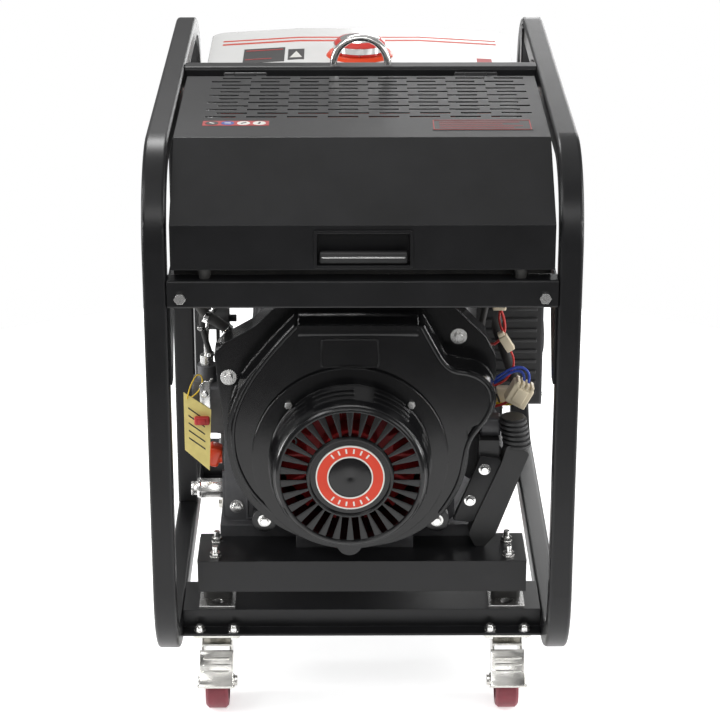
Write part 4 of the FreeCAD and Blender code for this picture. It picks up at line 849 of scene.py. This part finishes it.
# ---- right of the engine: connectors and their leads ----
def addRightSide():
    plug = block(at(176, 204, 548), at(194, 220, 574), 1.6, 3)
    ribs = [block(at(179 + 6 * index, 203, 552), at(181 + 6 * index, 205, 571), 0.6)
            for index in range(3)]
    settle(joined([plug] + ribs), "smallConnector", "nylonCream")
    housing = block(at(199, 190, 414), at(229, 214, 444), 2, 3)
    latch = block(at(206, 187.5, 419), at(222, 192, 440), 1.2, 3)
    slots = [block(at(201 + 7 * index, 189, 441), at(205.5 + 7 * index, 212, 449))
             for index in range(4)]
    inner = block(at(184, 218, 404), at(202, 232, 430), 1.6, 3)
    plug = turnedPiece(joined([housing, latch] + slots), 28, "Y", at(214, 202, 430))
    big = settle(joined([plug, inner]), "bootConnector", "nylonCream")
    lead = tube(placed((150, 200, 480), (150, 218, 480), (176, 222, 490), (192, 216, 506),
                       (194, 212, 530), (186, 212, 550)), 2)
    settle(lead, "smallLead", "leadRed")
    cable = tube(placed((195, 401, 480), (195, 360, 480), (187, 320, 486), (195, 285, 470),
                        (205, 250, 446), (209, 232, 438), (214, 213, 430)), 7, 7)
    settle(cable, "panelCable", "rubber_black")
    starterLead = tube(placed((225, 400, 588), (224, 345, 585), (160, 310, 520), (164, 300, 393)),
                       4.5, 6)
    settle(starterLead, "starterLead", "rubber_black")
    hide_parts("wiring_loom")
    spare = joined([block(at(190, 204, 488), at(202, 216, 512), 1.4, 3),
                    block(at(191.5, 205, 512), at(200.5, 215, 518), 1)])
    settle(turnedPiece(spare, -32, "Y", at(196, 210, 500)), "leadConnector", "nylonCream")
    runs = {
        "leadConnectorRed": ("leadRed", 1.5, [(201, 210, 489), (208, 210, 476), (203, 211, 455),
                                              (190, 213, 438), (168, 224, 428)]),
        "leadConnectorTop": ("leadRed", 1.5, [(191, 210, 515), (184, 214, 528), (188, 224, 548),
                                              (200, 250, 566), (208, 400, 560)]),
        "loomBlueHigh": ("leadBlue", 1.9, [(226, 202, 444), (229, 203, 458), (216, 206, 468),
                                           (196, 210, 460), (170, 226, 432)]),
        "loomBlueLow": ("leadBlue", 1.9, [(220, 202, 447), (221, 204, 458), (210, 207, 462),
                                          (192, 211, 450), (168, 227, 425)]),
        "loomRed": ("leadRed", 1.9, [(206, 200, 424), (196, 204, 414), (184, 210, 408),
                                     (168, 222, 398)]),
        "loomYellow": ("leadYellow", 1.9, [(211, 200, 418), (200, 204, 411), (186, 212, 412),
                                           (170, 224, 406)]),
        "loomBlack": ("rubber_black", 1.4, [(184, 214, 424), (190, 210, 410), (190, 206, 394),
                                            (184, 208, 384)]),
    }
    for name, (finish, radius, points) in runs.items():
        settle(tube(placed(*points), radius, 4), name, finish)
    for index, finish in enumerate(("leadRed", "rubber_black")):
        wire = tube(placed((181 + 6 * index, 212, 573), (180 + 8 * index, 220, 592),
                           (196 + 4 * index, 262, 598), (206 + 3 * index, 330, 592),
                           (205 + 3 * index, 400, 580)), 1.5, 4)
        settle(wire, f"plugWire{index}", finish)
    # cooling ribs on the near end of the control box
    ribs = [block(at(172, 397, 348 + 16 * index), at(252, 401, 353 + 16 * index), 1.2, 3)
            for index in range(15)]
    settle(joined(ribs), "boxRibs", "plastic_black")
    # cover plate beside the duct, with its two screws
    wing = plate([at(u, 154, v) for u, v in
                  ((125, 262), (160, 358), (183, 355), (190.5, 348), (156.5, 266), (150, 259))],
                 (0, 3 * mm, 0), 0.8, 3)
    settle(wing, "ductWing", "frame_black")
    cap = block(at(160, 172, 378.3), at(188, 198, 404), 3, 3)
    settle(cap, "ductCap", "alternator_grey")
    for index, (u, v) in enumerate(((147, 292), (166, 338))):
        screw = lathe(section(0, (-5, 0.1), (-5, 4.4), (-1.6, 5.4), (-1, 8), (0.2, 8.2),
                              (0.2, 0.1)), "Y", at(u, 154, v), 32)
        settle(screw, f"ductScrew{index}", "brightChrome")


addRightSide()
print("right side done")

# ---- control panel marks ----
panel = dict(face=261, knobY=480, knobZ=535, meterY=632, meterZ=560)


def addPanelMarks():
    face, knobY, knobZ = panel["face"], panel["knobY"], panel["knobZ"]
    ticks = []
    for index in range(11):  # scale round the current knob
        tick = decal(at(face - 0.2, knobY - 0.6, knobZ + 24), at(face + 0.4, knobY + 0.6, knobZ + 29))
        ticks.append(turnedPiece(tick, -135 + 27 * index, "X", at(face, knobY, knobZ)))
    for y, z, wide, high in ((632, 586, 36, 4), (580, 562, 22, 3), (685, 566, 22, 3),
                             (676, 366, 84, 3), (505, 366, 100, 3)):
        ticks.append(decal(at(face - 0.2, y - wide / 2, z - high / 2),
                           at(face + 0.4, y + wide / 2, z + high / 2)))
    settle(joined(ticks), "panelMarks", "labelWhite")
    y, z = panel["meterY"], panel["meterZ"]
    centre = at(0, y, z)
    dial = lathe(section(face, (3.9, 0.1), (4.3, 0.1), (4.3, 16), (3.9, 16.4)), "X", centre, 48)
    settle(dial, "meterDial", "labelWhite")
    marks = []
    for index in range(9):
        mark = block(at(face + 4.2, y - 0.4, z + 11), at(face + 4.6, y + 0.4, z + 14.5), 0.05, 1)
        marks.append(turnedPiece(mark, -60 + 15 * index, "X", centre))
    pointer = decal(at(face + 4.2, y - 0.5, z - 4), at(face + 4.8, y + 0.5, z + 11))
    marks.append(turnedPiece(pointer, -50, "X", centre))
    settle(joined(marks), "meterMarks", "labelBlack")
    bezel = lathe(section(face, (3.5, 16.5), (6, 17), (6, 19.4), (3.5, 20)), "X", centre, 48)
    settle(bezel, "meterBezel", "brightChrome")


def addPanelFittings():
    face = panel["face"]
    screws = [lathe(section(face, (-0.2, 0.1), (-0.2, 4.4), (1.2, 4.2), (2.4, 2.4), (2.6, 0.1)),
                    "X", at(0, y, z), 24) for y in (412, 748) for z in (342, 588)]
    settle(joined(screws), "panelScrews", "brightChrome")
    pins = [turnedPiece(block(at(face + 1.6, y - 1.4, 422), at(face + 4.2, y + 1.4, 429), 0.6),
                        turn, "X", at(face, y, 415)) for y in (465, 545) for turn in (90, 210, 330)]
    settle(joined(pins), "socketContacts", "bare_steel")
    for y, finish in ((640, "labelRed"), (712, "labelBlue")):
        collar = lathe(section(face, (4.6, 12), (7, 12.2), (7, 16), (4.6, 16.8)), "X",
                       at(0, y, 400), 48)
        settle(collar, f"terminalCollar{y}", finish)


addPanelMarks()
addPanelFittings()
print("panel marks done")

# ---- floor, light, camera ----
studio = dict(floorRadius=1.35, seen=1.0, behind=0.36, ahead=0.2, overhead=0.5, glow=0.55)


def addStudio():
    startFresh()
    bpy.ops.mesh.primitive_circle_add(vertices=96, radius=studio["floorRadius"], fill_type="NGON",
                                      location=(0, 0, 0))
    floor = bpy.context.object
    floor.name = "studioFloor"
    material, shader, place = newMaterial("floorPaper")
    paper = place.make("ShaderNodeTexNoise", 0, Vector=place, Scale=40, Detail=4)
    connect(place.tree, blendColour(place, paper, (0.9, 0.9, 0.9), (0.94, 0.94, 0.94)),
            shader.inputs["Base Color"])
    shader.inputs["Roughness"].default_value = 0.9
    shader.inputs["Emission Color"].default_value = (1, 1, 1, 1)
    shader.inputs["Emission Strength"].default_value = studio["glow"]
    floor.data.materials.append(material)
    addBackdrop()
    lamps = {
        "keyLight": dict(place=(-1.5, -1.7, 2.6), power=24, size=1.1),
        "fillLight": dict(place=(1.9, -1.9, 1.3), power=12, size=1.2),
        "topLight": dict(place=(-0.4, 1.5, 2.6), power=26, size=0.8),
        "leftStrip": dict(place=(-2.2, -0.3, 0.95), power=34, size=0.3, tall=1.5),
        "rightStrip": dict(place=(2.2, -0.2, 0.95), power=34, size=0.3, tall=1.5),
        "frontStrip": dict(place=(0, -2.6, 2.0), power=15, size=1.6, tall=0.35),
        "rearLight": dict(place=(0.6, 2.4, 0.7), power=16, size=1.2),
    }
    for name, settings in lamps.items():
        light = bpy.data.lights.new(name, "AREA")
        light.energy = settings["power"]
        light.size = settings["size"]
        if "tall" in settings:
            light.shape = "RECTANGLE"
            light.size_y = settings["tall"]
        lamp = bpy.data.objects.new(name, light)
        lamp.location = settings["place"]
        aim = Vector((0, 0, 0.45)) - Vector(settings["place"])
        lamp.rotation_euler = aim.to_track_quat("-Z", "Y").to_euler()
        bpy.context.scene.collection.objects.link(lamp)


def addBackdrop():
    # white behind the object, dimmer where it only lights and mirrors in the paint
    world = bpy.data.worlds.new("studio")
    bpy.context.scene.world = world
    world.use_nodes = True
    tree = world.node_tree
    backdrop = tree.nodes["Background"]
    rays = tree.nodes.new("ShaderNodeLightPath")
    place = Wire(tree, tree.nodes.new("ShaderNodeTexCoord").outputs["Generated"])
    depth = place.make("ShaderNodeSeparateXYZ", 1, Vector=place)
    height = place.make("ShaderNodeSeparateXYZ", 2, Vector=place)
    mirrored = (depth * 0.5 + 0.5).between(studio["ahead"], studio["behind"])
    mirrored = mirrored + height.above(0.86, 0.1) * studio["overhead"]
    camera = Wire(tree, rays.outputs["Is Camera Ray"])
    level = mirrored * (1 - camera) + camera * studio["seen"]
    backdrop.inputs["Color"].default_value = (1, 1, 1, 1)
    connect(tree, level, backdrop.inputs["Strength"])


view = dict(lens=123.8, sensor=36, place=(-0.0198, -3.336, 1.6985), tilt=68.6, turn=-0.323)


def addCamera():
    camera = bpy.data.cameras.new("view")
    camera.lens = view["lens"]
    camera.sensor_width = view["sensor"]
    holder = bpy.data.objects.new("view", camera)
    holder.location = view["place"]
    holder.rotation_euler = (math.radians(view["tilt"]), 0, math.radians(view["turn"]))
    bpy.context.scene.collection.objects.link(holder)
    bpy.context.scene.camera = holder


addStudio()
addCamera()
bpy.context.scene.view_settings.view_transform = "Standard"
print("studio done")

startFresh()
